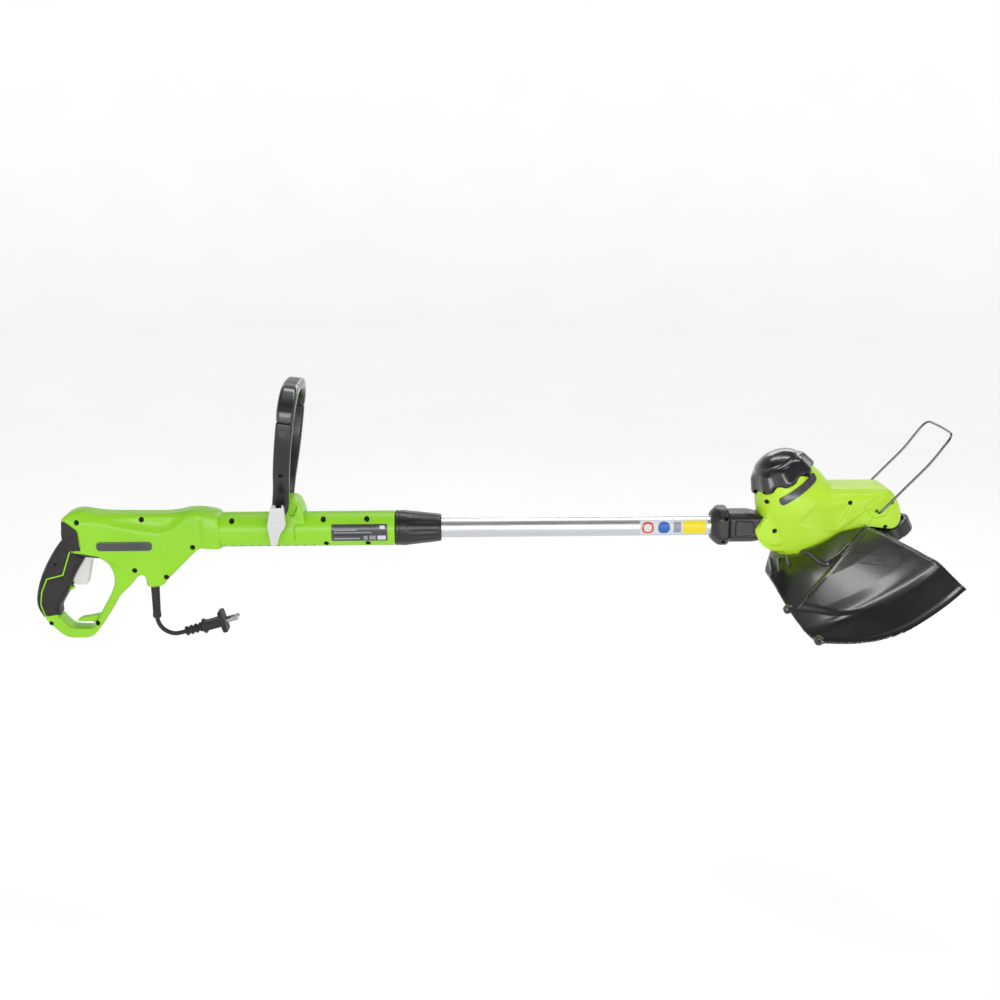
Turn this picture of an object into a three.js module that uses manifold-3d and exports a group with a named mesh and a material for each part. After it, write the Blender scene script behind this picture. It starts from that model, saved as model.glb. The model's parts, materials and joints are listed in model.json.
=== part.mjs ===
// Corded string trimmer: rear D-handle, sliding loop handle, telescoping shaft, tilting cutting head.
// Millimetres, +X along the shaft towards the head, +Z up, -Y on the left side. The origin is the middle
// of the rear grip, and everything is modelled on the shaft's axis and then moved there as one group.
import * as THREE from 'three';
import { mergeVertices } from 'three/addons/utils/BufferGeometryUtils.js';
import Module from 'manifold-3d';

const wasm = await Module();
wasm.setup();

// ---- driving dimensions --------------------------------------------------------------------------
const GAP = 0.3;                 // clearance between touching pieces
const GRIP_X = 6;                // shaft-axis station of the grip's middle
const GRIP_DROP = 75;            // the grip's middle lies this far under the shaft's axis
const TUBE = { r: 12.7, wall: 1.2, start: 200, end: 850 };
const BARREL = { r: 21.5, bore: 18.2, start: 205, end: 426 };
const BODY_HALF = 22;            // half width of the rear body
const FRAME_HALF = 13;           // half width of the D-frame
const WALL = 2.6;                // moulded wall thickness
const COLLAR = { start: 426.5, end: 483, r: 21.8, nose: 17 };
const LOOP = { x: 289, pivotZ: 33, lean: 7 };
const PIVOT = { x: 892, z: -1, r: 14, half: 20 };
const HEAD = { x: 941, tilt: 27 };
const MOTOR_U = -4;              // the motor's axis in the head's own frame
const SKIRT = { r: 205, creaseR: 179, creaseW: -60, rimW: -91.5, thick: 3 };
const LINE = { w: -75, r: 1.1, reach: 165 };
const WIRE_R = 1.6;              // guide wire
const WHEEL = { u: 88, w: -53.5, r: 27, width: 17 };
const CORD = { r: 2.7, x: 127, rise: 16 };

// ---- colours and finishes ------------------------------------------------------------------------
const finish = (color, roughness, metalness = 0) =>
  new THREE.MeshStandardMaterial({ color, roughness, metalness });
const GREEN = finish(0x7fd515, 0.35);
const LIME = finish(0xb0e63a, 0.35);
const BLACK = finish(0x2b2a30, 0.5);
const RUBBER = finish(0x3d3735, 0.85);
const GREY = finish(0xd9d8d8, 0.45);
const ALUMINIUM = finish(0xd5d7da, 0.3, 0.9);
const STEEL = finish(0x9a9ca0, 0.35, 0.9);
const COPPER = finish(0xb4693a, 0.4, 0.8);
const LINE_YELLOW = finish(0xd8e04a, 0.5);

// ---- shape helpers -------------------------------------------------------------------------------
const radians = THREE.MathUtils.degToRad;

// A closed three.js geometry as a solid that can be joined and cut.
function solid(geometry) {
  const bare = geometry.clone();
  bare.deleteAttribute('normal');
  bare.deleteAttribute('uv');
  const merged = mergeVertices(bare, 1e-4);
  return new wasm.Manifold(new wasm.Mesh({
    numProp: 3,
    vertProperties: new Float32Array(merged.attributes.position.array),
    triVerts: new Uint32Array(merged.index.array),
  }));
}

function geometryOf(shape) {
  const mesh = shape.getMesh();
  const geometry = new THREE.BufferGeometry();
  geometry.setAttribute('position', new THREE.BufferAttribute(new Float32Array(mesh.vertProperties), 3));
  geometry.setIndex(new THREE.BufferAttribute(new Uint32Array(mesh.triVerts), 1));
  geometry.computeVertexNormals();
  return geometry;
}

const join = (first, ...rest) => rest.reduce((whole, piece) => whole.add(piece), first);
const cut = (first, ...rest) => rest.reduce((whole, piece) => whole.subtract(piece), first);

function block([x0, x1], [y0, y1], [z0, z1]) {
  const geometry = new THREE.BoxGeometry(x1 - x0, y1 - y0, z1 - z0);
  return solid(geometry.translate((x0 + x1) / 2, (y0 + y1) / 2, (z0 + z1) / 2));
}

// A polygon whose corners are rounded by the third number of each point.
function roundedShape(points) {
  const shape = new THREE.Shape();
  const corner = (i) => new THREE.Vector2(...points[(i + points.length) % points.length]);
  points.forEach(([, , radius = 0], i) => {
    const here = corner(i);
    const step = (other) => {
      const away = other.clone().sub(here);
      return here.clone().add(away.setLength(Math.min(radius, away.length() / 2)));
    };
    const [enter, leave] = [step(corner(i - 1)), step(corner(i + 1))];
    shape[i ? 'lineTo' : 'moveTo'](enter.x, enter.y);
    if (radius) shape.quadraticCurveTo(here.x, here.y, leave.x, leave.y);
  });
  return shape;
}

// An outline in the X-Z plane, carried from y0 to y1.
function plate(points, y0, y1, curveSegments = 2) {
  const settings = { depth: y1 - y0, bevelEnabled: false, curveSegments };
  const geometry = new THREE.ExtrudeGeometry(roundedShape(points), settings);
  return solid(geometry.rotateX(Math.PI / 2).translate(0, y1, 0));
}

// An outline in the X-Y plane, carried from z0 to z1.
function slab(points, z0, z1, curveSegments = 2) {
  const settings = { depth: z1 - z0, bevelEnabled: false, curveSegments };
  return solid(new THREE.ExtrudeGeometry(roundedShape(points), settings).translate(0, 0, z0));
}

// An outline in the Y-Z plane, carried from x0 to x1.
function bar(points, x0, x1, curveSegments = 2) {
  const settings = { depth: x1 - x0, bevelEnabled: false, curveSegments };
  const geometry = new THREE.ExtrudeGeometry(roundedShape(points), settings);
  return solid(geometry.rotateX(Math.PI / 2).rotateZ(Math.PI / 2).translate(x0, 0, 0));
}

// A profile of [radius, distance] pairs turned round the X, Y or Z axis.
function turned(points, axis, sides = 24) {
  const outline = points.map(([radius, along]) => new THREE.Vector2(radius, along));
  if (THREE.ShapeUtils.area(outline) < 0) outline.reverse();
  const before = (i) => outline[(i + outline.length - 1) % outline.length];
  const hollow = outline.every((point) => point.x > 0);
  const first = outline.findIndex((point, i) => point.x === 0 && before(i).x === 0);
  const ordered = hollow ? [...outline, outline[0]] : [...outline.slice(first), ...outline.slice(0, first)];
  const geometry = new THREE.LatheGeometry(ordered, sides);
  if (axis === 'x') geometry.rotateZ(-Math.PI / 2);
  if (axis === 'z') geometry.rotateX(Math.PI / 2);
  return solid(geometry);
}

const rod = (r, from, to, axis, sides = 20) => turned([[0, from], [r, from], [r, to], [0, to]], axis, sides);
const ring = (inner, outer, from, to, axis, sides = 24) =>
  turned([[inner, from], [outer, from], [outer, to], [inner, to]], axis, sides);

// A round section carried along a curve.
function tube(curve, r, steps, sides = 8) {
  const section = new THREE.Shape();
  for (let i = 0; i < sides; i += 1) {
    const angle = (2 * Math.PI * i) / sides;
    section[i ? 'lineTo' : 'moveTo'](r * Math.cos(angle), r * Math.sin(angle));
  }
  const settings = { steps, extrudePath: curve, bevelEnabled: false };
  return solid(new THREE.ExtrudeGeometry(section, settings));
}

const curveThrough = (points, tension = 0.5) => new THREE.CatmullRomCurve3(
  points.map((point) => new THREE.Vector3(...point)), false, 'centripetal', tension);

// The part of a shape on the left (-Y) or the right (+Y) of the middle plane, less half the gap.
function half(shape, side, size = 1400) {
  const range = side < 0 ? [-size, -GAP / 2] : [GAP / 2, size];
  return shape.intersect(block([-size, size], range, [-size, size]));
}

const model = new THREE.Group();
const shaftFrame = new THREE.Group();
shaftFrame.position.set(-GRIP_X, 0, GRIP_DROP);
model.add(shaftFrame);
const headFrame = new THREE.Group();
headFrame.position.set(HEAD.x, 0, 0);
headFrame.rotation.y = -radians(HEAD.tilt);
shaftFrame.add(headFrame);

function place(group, name, shape, material) {
  const mesh = new THREE.Mesh(geometryOf(shape), material.clone());
  mesh.name = name;
  group.add(mesh);
}

// ---- rear handle ---------------------------------------------------------------------------------
const BODY_OUTLINE = [
  [23, 20, 5], [41, 30, 10], [66, 23.5, 20], [156, 22.5, 20], [184, 29.5, 14], [212, 21.5, 6],
  [212, -20.8, 2], [187, -19, 6], [148, -58, 6], [139, -69, 6], [121, -69, 5], [118, -55, 4],
  [96, -52, 6], [80, -38, 6], [66, -32, 4], [46, -29, 4], [26, -20, 4], [21, -4, 6],
];
const BODY_CAVITY = [
  [30, 16, 4], [160, 17.5, 8], [205, 17, 4], [205, -16, 4], [183, -15, 4], [146, -53, 4], [121, -52, 4],
  [104, -46, 6], [84, -28, 4], [62, -24, 4], [34, -12, 4],
];
const D_OUTLINE = [
  [30, 8, 2], [23, -4, 8], [11, -19, 12], [-2.5, -41, 14], [-12.5, -64, 14], [-17.5, -86, 12],
  [-15.5, -98, 8], [-7.5, -112, 8], [16, -135.5, 10], [48, -135.5, 8], [60, -121, 8], [75, -98, 8],
  [84, -82, 10], [99, -69, 8], [112, -52, 6], [112, -30, 2], [40, 8, 2],
];
const D_OPENING = [
  [66, -32, 5], [49, -30, 5], [33, -52, 12], [26, -69, 10], [15, -88, 6], [10, -96, 5], [12, -109, 5],
  [24, -121.5, 6], [49, -122.5, 6], [62, -99, 8], [74, -79, 10], [81, -61, 10], [76, -43, 8],
];
const GRIP_OUTLINE = [
  [27, -17, 3], [12, -19, 10], [-2.5, -41, 14], [-12.5, -64, 14], [-17.5, -86, 12], [-15.5, -98, 8],
  [-9, -109.5, 3],
  [11, -106, 3], [10, -96, 4], [15, -88, 6], [26, -69, 10], [33, -52, 12], [47, -31, 2], [40, -24, 3],
];
const GRIP_CORE = [
  [30, -14, 2], [15, -21, 8], [1, -43, 12], [-9, -65, 12], [-14, -86, 10], [-12, -97, 6],
  [-7, -111, 3], [9, -109, 3], [6.6, -97, 4], [11.8, -88, 6], [22.8, -70, 8], [29.8, -53, 8], [45, -29, 2],
  [40, -18, 2],
];
// A short arm over the bottom bar, under which the extension lead's loop is hooked.
const HOOK_OUTLINE = [
  [60, -106, 2], [44, -109.5, 8], [34, -110.5, 4], [28, -115.5, 2], [31, -116, 2], [48, -116, 2],
  [50, -118, 2], [57, -117, 2],
];
const GRIP_ZONE = [
  [-60, -16.6], [30, -16.6], [50, -29], [34, -53], [27, -70], [16, -88.5], [11.5, -96], [14, -106.2],
  [-8, -110], [-60, -110],
];
const GRIP_HALF = 17;            // half width over the rubber
const CORE_HALF = 12.2;          // half width of the moulded core under the rubber
const TRIGGER_SLOT = [[18, 60], [-7.8, 7.8], [-70.5, -24]];
const TRIGGER_AXIS = [53, -26];
const SWITCH_BOX = [[8.5, 17], [-9, 9], [-64, -43]];

function roundRod(r, [x, z], y0, y1, sides = 24) {
  return rod(r, y0, y1, 'y', sides).translate([x, 0, z]);
}

function makeHousing() {
  const section = bar([[-22, -80, 4], [22, -80, 4], [22, 31, 17], [-22, 31, 17]], 0, 230, 4);
  const body = plate(BODY_OUTLINE, -BODY_HALF, BODY_HALF).intersect(section);
  const frame = cut(plate(D_OUTLINE, -FRAME_HALF, FRAME_HALF), plate(D_OPENING, -60, 60));
  const gripSpace = plate(GRIP_ZONE, -60, 60);
  const hook = plate(HOOK_OUTLINE, -5, 5);
  const core = plate(GRIP_CORE, -CORE_HALF, CORE_HALF);
  const barrel = rod(BARREL.r, BARREL.start, BARREL.end, 'x', 28);
  const notchPitch = 11;
  const notches = Array.from({ length: 12 }, (_, i) => {
    const x = BARREL.start + 8 + notchPitch * i;
    return block([x, x + 4], [-4, 4], [-BARREL.r - 2, -BARREL.r + 1.2]);
  });
  const boss = ring(6, 10, -71, -60, 'z', 20).translate([CORD.x, 0, 0]);
  const shell = join(cut(frame, gripSpace), hook, core, cut(body, plate(BODY_CAVITY, -BODY_HALF + WALL,
    BODY_HALF - WALL)), barrel);
  const bossHole = rod(10, -75, -50, 'z', 20).translate([CORD.x, 0, 0]);
  return cut(join(cut(shell, bossHole), boss),
    rod(BARREL.bore, 180, BARREL.end + 1, 'x', 24),
    block([186, 206], [-16, 16], [-14, 14]),
    block(...TRIGGER_SLOT),
    block([TRIGGER_AXIS[0] - 8, TRIGGER_AXIS[0] + 8], [-7.8, 7.8], [-34, -18]),
    block(...SWITCH_BOX.map(([low, high]) => [low - GAP, high + GAP])),
    roundRod(2.1, TRIGGER_AXIS, -11.2, 11.2, 16),
    ...notches);
}

const HOUSING_SCREWS = [[119, 17], [107, -47]];
function screwHole([x, z], y0, y1, headR = 3.4, r = 1.9) {
  return join(roundRod(headR, [x, z], y0 - 30, y0, 16), roundRod(r, [x, z], y0 - 1, y1, 12));
}
const screwSolid = ([x, z], y0, y1, headR = 3.1, r = 1.6) =>
  join(roundRod(headR, [x, z], y0 - 2.2, y0 - GAP, 16), roundRod(r, [x, z], y0 - 1, y1, 10));

// Each screw sits in a boss that stands in the cavity of both half shells.
const SCREW_SEAT = -13;
const housing = makeHousing();
const bosses = HOUSING_SCREWS.map((at) => roundRod(5, at, -19.5, 19.5, 16));
const openBarrel = rod(BARREL.bore, 215, BARREL.end + 1, 'x', 24);
const bossed = cut(join(housing, ...bosses), openBarrel,
  ...HOUSING_SCREWS.map((at) => screwHole(at, SCREW_SEAT, 14)));
place(shaftFrame, 'housing_left', half(bossed, -1), GREEN);
place(shaftFrame, 'housing_right', half(bossed, 1), GREEN);
HOUSING_SCREWS.forEach((at, i) => {
  place(shaftFrame, `housing_screw_${i + 1}`, screwSolid(at, SCREW_SEAT, 13), STEEL);
});

const pads = cut(plate(GRIP_OUTLINE, -GRIP_HALF, GRIP_HALF),
  plate(GRIP_CORE, -CORE_HALF - GAP, CORE_HALF + GAP), block(...TRIGGER_SLOT),
  block([20, 60], [-30, 30], [-33, -10]), plate(BODY_OUTLINE, -30, 30).translate([0, 0, -GAP]));
place(shaftFrame, 'grip_pad_left', half(pads, -1), RUBBER);
place(shaftFrame, 'grip_pad_right', half(pads, 1), RUBBER);

const TRIGGER_OUTLINE = [
  [58, -22, 4], [58, -34, 4], [53, -36, 3], [48.5, -58, 6], [45.5, -68, 3], [30, -68, 3], [27, -60, 6],
  [38, -42, 10], [45, -30, 4], [47.5, -22, 4],
];
place(shaftFrame, 'trigger', cut(plate(TRIGGER_OUTLINE, -7, 7), roundRod(2.1, TRIGGER_AXIS, -8, 8, 16),
  block([44, 60], [3, 8], [-34, -18])), GREY);
place(shaftFrame, 'trigger_pin', roundRod(1.7, TRIGGER_AXIS, -10.8, 10.8, 12), STEEL);

// A torsion spring of round wire wound on the trigger pin.
class Coil extends THREE.Curve {
  constructor(radius, length, turns) {
    super();
    Object.assign(this, { radius, length, turns });
  }

  getPoint(t, target = new THREE.Vector3()) {
    const angle = 2 * Math.PI * this.turns * t;
    return target.set(this.radius * Math.cos(angle), this.length * t, this.radius * Math.sin(angle));
  }
}
const TRIGGER_SPRING = { r: 2.9, wire: 0.4, length: 3, turns: 2 };
const triggerCoil = new Coil(TRIGGER_SPRING.r, TRIGGER_SPRING.length, TRIGGER_SPRING.turns);
place(shaftFrame, 'trigger_spring', tube(triggerCoil, TRIGGER_SPRING.wire, 20, 5)
  .translate([TRIGGER_AXIS[0], 3.9, TRIGGER_AXIS[1]]), STEEL);

place(shaftFrame, 'switch_body', block(...SWITCH_BOX), BLACK);
place(shaftFrame, 'cord_clamp', cut(block([117, 137], [-12, 12], [-49, -43]),
  rod(3.1, -60, -40, 'z', 16).translate([CORD.x, 0, 0])), BLACK);
place(shaftFrame, 'badge_plate', plate([[64, -9, 4], [131, -9, 4], [131, -20, 4], [64, -20, 4]],
  -BODY_HALF - 1.1, -BODY_HALF - GAP), BLACK);
const RATING = { x: [349, 417], z: [-11, 10], thick: 0.6 };
const ratingBand = ring(BARREL.r + GAP, BARREL.r + GAP + RATING.thick, ...RATING.x, 'x', 36);
place(shaftFrame, 'rating_plate', ratingBand.intersect(block(RATING.x, [-40, -5], RATING.z)), BLACK);

// ---- power cord ----------------------------------------------------------------------------------
const SLEEVE = { top: -56, bottom: -113, rTop: 5.6, rBottom: 4.7, bore: CORD.r + GAP };
place(shaftFrame, 'cord_sleeve', turned([[SLEEVE.bore, SLEEVE.top], [SLEEVE.rTop, SLEEVE.top],
  [SLEEVE.rBottom, SLEEVE.bottom], [SLEEVE.bore, SLEEVE.bottom]], 'z', 20).translate([CORD.x, 0, 0]), RUBBER);

// The cord hangs from its sleeve, turns under its own stiffness and rises a little into the plug.
const CORD_ROUTE = [
  [127, 0, -42], [127, 0, -52], [127, 0, -64], [127, 0, -76], [127, 0, -88], [127, 0, -100], [127, 0, -112],
  [127.8, 0, -118], [130, 0, -123.4], [133.6, 0, -128], [138.2, 0, -131.5], [143.7, 0, -133.8],
  [149.5, 0, -134.5], [155.7, 0, -133.6], [160.5, 0, -132.2],
];
place(shaftFrame, 'power_cord', tube(curveThrough(CORD_ROUTE), CORD.r, 18, 8), BLACK);

const PLUG = { boot: 25, body: 24, flange: 6, blade: 17, spacing: 12.7 };
const plugFrame = new THREE.Group();
plugFrame.position.set(160.8, 0, -132.1);
plugFrame.rotation.y = -radians(CORD.rise);
shaftFrame.add(plugFrame);
const bootRidges = Array.from({ length: 4 }, (_, i) => [[5.8, 1 + 6 * i], [5.8, 4 + 6 * i],
  [4.4, 4.6 + 6 * i], [4.4, 6.4 + 6 * i]]).flat();
const plugEnd = PLUG.boot + PLUG.body;
place(plugFrame, 'plug_body', join(turned([[0, 0.4], [4.4, 0.4], ...bootRidges, [4.4, PLUG.boot + 2],
  [0, PLUG.boot + 2]], 'x', 20), block([PLUG.boot, plugEnd], [-9, 9], [-5.5, 5.5]),
bar([[-12, -14, 6], [12, -14, 6], [12, 14, 6], [-12, 14, 6]], plugEnd - 2, plugEnd + PLUG.flange - 2)),
BLACK);
for (const [name, side] of [['plug_blade_left', -1], ['plug_blade_right', 1]]) {
  const y = (side * PLUG.spacing) / 2;
  const start = plugEnd + PLUG.flange - 2 + GAP;
  place(plugFrame, name, block([start, start + PLUG.blade], [y - 0.8, y + 0.8], [-2.2, 2.2]), STEEL);
}

// ---- loop handle ---------------------------------------------------------------------------------
const SADDLE = { x0: 276, x1: 304, r: BARREL.r + GAP, ringR: 25.2, top: 42, half: 21 };
const LEG = { width: 20, thick: 11 };
const saddleRing = cut(ring(SADDLE.r, SADDLE.ringR, SADDLE.x0, SADDLE.x1, 'x', 40),
  block([200, 400], [-40, 40], [-40, -11]));
const saddleBlock = plate([[274, 21, 4], [280, 41, 6], [308, 42, 8], [314, 30, 6], [318, 10, 2], [276, 8, 2]],
  -SADDLE.half, SADDLE.half);
place(shaftFrame, 'loop_bracket', cut(join(saddleRing, saddleBlock), rod(SADDLE.r, 200, 400, 'x', 40),
  roundRod(3.4, [LOOP.x, LOOP.pivotZ], -40, 40, 16)), GREEN);

// The bolt ends in an eye, and the clamp lever is forked over it and swings on a pin through both.
const LEVER = { y: -41.5, pin: 1.5, fork: 7, x: [274, 298] };
const BOLT_R = 3;
const leverRod = (r, x0, x1) => rod(r, x0, x1, 'x', 16).translate([0, LEVER.y, LOOP.pivotZ]);
place(shaftFrame, 'clamp_bolt', cut(join(roundRod(BOLT_R, [LOOP.x, LOOP.pivotZ], LEVER.y, 34, 16),
  leverRod(3.6, LOOP.x - 3, LOOP.x + 3), roundRod(6, [LOOP.x, LOOP.pivotZ], 33.6, 37.6, 6)),
leverRod(LEVER.pin + GAP, ...LEVER.x)), STEEL);
place(shaftFrame, 'lever_pin', leverRod(LEVER.pin, 279, LOOP.x + 6), STEEL);
const leverSection = [
  [-38, 36, 2], [-38, 26, 2], [-37, 10, 4], [-32.5, -12, 2], [-35.5, -13, 1], [-41, 8, 6], [-47.3, 24, 4],
  [-47.3, 39, 4], [-41, 41, 2],
];
const leverFace = plate([[281, 43, 3], [295, 43, 3], [297, 14, 5], [289, 3, 5], [284, -13, 3], [277, -13, 3],
  [274, 14, 4], [277, 28, 5]], -60, -20);
const forkHalf = LEVER.fork / 2;
place(shaftFrame, 'clamp_lever', cut(bar(leverSection, ...LEVER.x).intersect(leverFace),
  block([LOOP.x - forkHalf, LOOP.x + forkHalf], [-46.1, -30], [LOOP.pivotZ - 7, 60]),
  leverRod(LEVER.pin + GAP, 278.5, LOOP.x + 6.5)), GREY);

const loopFrame = new THREE.Group();
loopFrame.position.set(LOOP.x, 0, LOOP.pivotZ);
loopFrame.rotation.y = radians(LOOP.lean);
shaftFrame.add(loopFrame);
const LOOP_PATH = [
  [-27.5, -16], [-27.5, 4], [-33, 26], [-49, 48], [-59, 74], [-62, 102], [-57, 128], [-40, 143], [-15, 147],
];
function loopCurve(points) {
  const mirrored = points.map(([y, z]) => [-y, z]).reverse();
  return curveThrough([...points, ...mirrored].map(([y, z]) => [0, y, z]));
}
function loopBar(curve, width, thick, steps) {
  const [w, t] = [width / 2, thick / 2];
  const section = roundedShape([[-w, -t, t * 0.8], [w, -t, t * 0.8], [w, t, t * 0.8], [-w, t, t * 0.8]]);
  const settings = { steps, extrudePath: curve, bevelEnabled: false, curveSegments: 1 };
  return solid(new THREE.ExtrudeGeometry(section, settings));
}
const loopSpine = loopCurve(LOOP_PATH);
const loopSolid = loopBar(loopSpine, LEG.width, LEG.thick, 30);
const padZone = block([-40, 40], [-80, 80], [112, 170]);
const loopCore = loopBar(loopSpine, LEG.width - 3.4, LEG.thick - 3.4, 30);
const legRound = join(block([-30, 30], [-80, 80], [0, 200]),
  roundRod(10, [0, 0], -60, 60, 24), block([-10, 10], [-80, 80], [-10, 0]));
place(loopFrame, 'loop_frame', cut(join(cut(loopSolid, padZone), loopCore).intersect(legRound),
  roundRod(3.4, [0, 0], -60, 60, 16)), BLACK);
place(loopFrame, 'loop_grip', cut(loopSolid.intersect(block([-40, 40], [-80, 80], [112 + GAP, 170])),
  loopBar(loopSpine, LEG.width - 2.8, LEG.thick - 2.8, 30)), RUBBER);

// ---- shaft and collar ----------------------------------------------------------------------------
place(shaftFrame, 'barrel_bush', ring(TUBE.r + GAP, BARREL.bore - GAP, 378, 413, 'x', 28), BLACK);
place(shaftFrame, 'collet', turned([[TUBE.r + GAP, 414], [BARREL.bore - GAP, 414], [BARREL.bore - GAP, 425],
  [17, 427], [17, 440], [14.4, 458], [TUBE.r + GAP, 458]], 'x', 28), BLACK);
place(shaftFrame, 'lock_collar', turned([[17.4, COLLAR.start], [COLLAR.r, COLLAR.start], [COLLAR.r, 441],
  [COLLAR.nose, COLLAR.end], [TUBE.r + 0.5, COLLAR.end], [TUBE.r + 0.5, 470], [17.4, 459]], 'x', 28), BLACK);
place(shaftFrame, 'shaft_tube', ring(TUBE.r - TUBE.wall, TUBE.r, TUBE.start, TUBE.end, 'x', 28), ALUMINIUM);
place(shaftFrame, 'tube_end_bush', ring(TUBE.r + GAP, BARREL.bore - GAP, TUBE.start, 226, 'x', 28), BLACK);
place(shaftFrame, 'motor_lead', rod(2.3, 230, 864, 'x', 8), BLACK);
place(shaftFrame, 'swivel_ring', ring(TUBE.r + GAP, 16.4, 843, 849.5, 'x', 28), STEEL);

// ---- neck ----------------------------------------------------------------------------------------
const NECK = { start: 815, shoulder: 838, r: 23 };
const octagon = (w, h, c) => [[-w + c, -h], [w - c, -h], [w, -h + c], [w, h - c], [w - c, h], [-w + c, h],
  [-w, h - c], [-w, -h + c]];
const neckSolid = cut(join(
  bar(octagon(22.5, 23, 10), NECK.start + 7, NECK.shoulder),
  turned([[0, NECK.start], [14.6, NECK.start], [22.4, NECK.start + 8], [0, NECK.start + 8]], 'x', 8),
  bar(octagon(19.6, 19, 7), NECK.shoulder - 1, 862),
  plate([[861, 19], [880, 13.6], [880, -17], [861, -19]], -19.6, 19.6)
    .intersect(bar(octagon(19.6, 19, 7), 860, 890)),
  block([PIVOT.x - 13, PIVOT.x], [-19.6, 19.6], [PIVOT.z - 13.4, PIVOT.z + 13.4]),
  roundRod(PIVOT.r, [PIVOT.x, PIVOT.z], -19.6, 19.6, 28)),
block([PIVOT.x - 11, PIVOT.x + 30], [-13, 13], [-30, 30]),
rod(TUBE.r + GAP, 800, TUBE.end + 2, 'x', 28), rod(16.8, 842.6, 852, 'x', 28),
rod(8, 850, 870, 'x', 16), roundRod(4.4, [PIVOT.x, PIVOT.z], -40, 40, 20));
const neckBored = cut(neckSolid, block([858, 872], [-10, 10], [-8, 8]));
place(shaftFrame, 'neck_left', half(neckBored, -1), BLACK);
place(shaftFrame, 'neck_right', half(neckBored, 1), BLACK);

// ---- head casing ---------------------------------------------------------------------------------
const toHead = (x, z) => {
  const [c, s] = [Math.cos(radians(HEAD.tilt)), Math.sin(radians(HEAD.tilt))];
  return [(x - HEAD.x) * c + z * s, -(x - HEAD.x) * s + z * c];
};
const [PIVOT_U, PIVOT_W] = toHead(PIVOT.x, PIVOT.z);
const CAP_SEAM = 72;
const onMotor = (shape) => shape.translate([MOTOR_U, 0, 0]);
const DOME = [[0, -30], [40, -30], [46, -18], [47, -6], [47, 41], [44.8, 54], [39.7, 65.7], [38.9, CAP_SEAM],
  [0, CAP_SEAM]];
const NOSE_SIDE = [
  [10, -29.5, 2], [30, -29.5, 6], [58, -22, 8], [76, -35, 4], [87, -42, 6], [99, -38, 6], [107, -26, 6],
  [109.5, -8, 8], [101, 7, 6], [90, 15, 6], [72, 27, 10], [50, 36, 10], [40, 41, 2], [10, 41, 2],
];
const NOSE_PLAN = [
  [-10, -44, 2], [30, -44, 10], [60, -40, 10], [95, -37, 8], [108, -28, 8], [108, 28, 8], [95, 37, 8],
  [60, 40, 10], [30, 44, 10], [-10, 44, 2],
];
// The nose's top is rounded over, along the line of the shaft.
const NOSE_SECTION = [[-46, -110, 2], [46, -110, 2], [46, 52, 32], [-46, 52, 32]];
const CHEEK_SIDE = [
  [-66, 32, 6], [-66, 10, 10], [-56, -4, 8], [-42, -11, 8], [-27, -22, 6], [0, -29, 2], [0, 42, 2],
  [-42, 46, 4], [-52, 38, 6],
];
const CHEEK_HALF = 27;
const pivotRod = (r, reach, sides) => roundRod(r, [PIVOT_U, PIVOT_W], -reach, reach, sides);

function makeHead() {
  const roundTop = bar(NOSE_SECTION, -60, 130, 4).rotate([0, HEAD.tilt, 0]);
  const nose = plate(NOSE_SIDE, -50, 50).intersect(slab(NOSE_PLAN, -60, 60)).intersect(roundTop);
  const cheeks = plate(CHEEK_SIDE, -CHEEK_HALF, CHEEK_HALF);
  const motorBay = onMotor(turned([[0, -26], [36, -26], [41, -16], [41, 46], [36.7, 65],
    [36.3, CAP_SEAM + 1], [0, CAP_SEAM + 1]], 'z'));
  const noseBay = block([40, 90], [-30, 30], [-18, 10]);
  const neckSpace = block([-60, 0], [-PIVOT.half, PIVOT.half], [-21.5, 15.5]);
  const neckSweep = [0, -12.5, -25].map((turn) => neckSpace.rotate([0, turn, 0])
    .rotate([0, HEAD.tilt, 0]).translate([PIVOT_U, 0, PIVOT_W]));
  const pivotPocket = roundRod(7.2, [PIVOT_U, PIVOT_W], CHEEK_HALF, 60, 16);
  return cut(join(onMotor(turned(DOME, 'z', 32)), nose, cheeks), motorBay, noseBay,
    pivotRod(PIVOT.r + 1.5, PIVOT.half, 28), ...neckSweep,
    onMotor(rod(12, -40, -20, 'z', 20)), pivotRod(4.4, 40, 16),
    pivotPocket, pivotPocket.mirror([0, 1, 0]),
    rod(4.6, -60, -28, 'z', 16).translate([WHEEL.u, 0, 0]));
}
const HEAD_SCREWS = [toHead(930, 70), toHead(984, 34)];
const HEAD_SEAT = -36;
const headScrewHoles = HEAD_SCREWS.map((at) => screwHole(at, HEAD_SEAT, 20));
const headShell = cut(makeHead(), ...headScrewHoles);
place(headFrame, 'head_shell_left', half(headShell, -1), LIME);
place(headFrame, 'head_shell_right', half(headShell, 1), LIME);

// The cap closes the dome, and air is drawn in under the lobes of its rim.
const CAP_OUTER = [[38.7, CAP_SEAM + GAP], [37.9, 76], [33.4, 88], [25, 98], [13, 103.8], [0, 105.2]];
const CAP_INNER = [[0, 102.4], [12, 101], [23, 95.6], [30.8, 86.4], [35.2, 75.6], [36, CAP_SEAM + GAP]];
place(headFrame, 'motor_cap', onMotor(turned([...CAP_OUTER, ...CAP_INNER], 'z', 28)), BLACK);
const badgeBand = turned([[45.3, 54], [46.2, 54], [42.3, 63], [41.4, 63]], 'z', 40);
place(headFrame, 'head_badge', onMotor(badgeBand.intersect(block([-22, 26], [-60, 0], [0, 70]))), BLACK);
place(headFrame, 'pivot_bolt', join(pivotRod(4, 26, 20), roundRod(6.5, [PIVOT_U, PIVOT_W], 27 + GAP, 30, 6),
  pivotRod(4, 27.5, 20)), STEEL);

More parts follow.
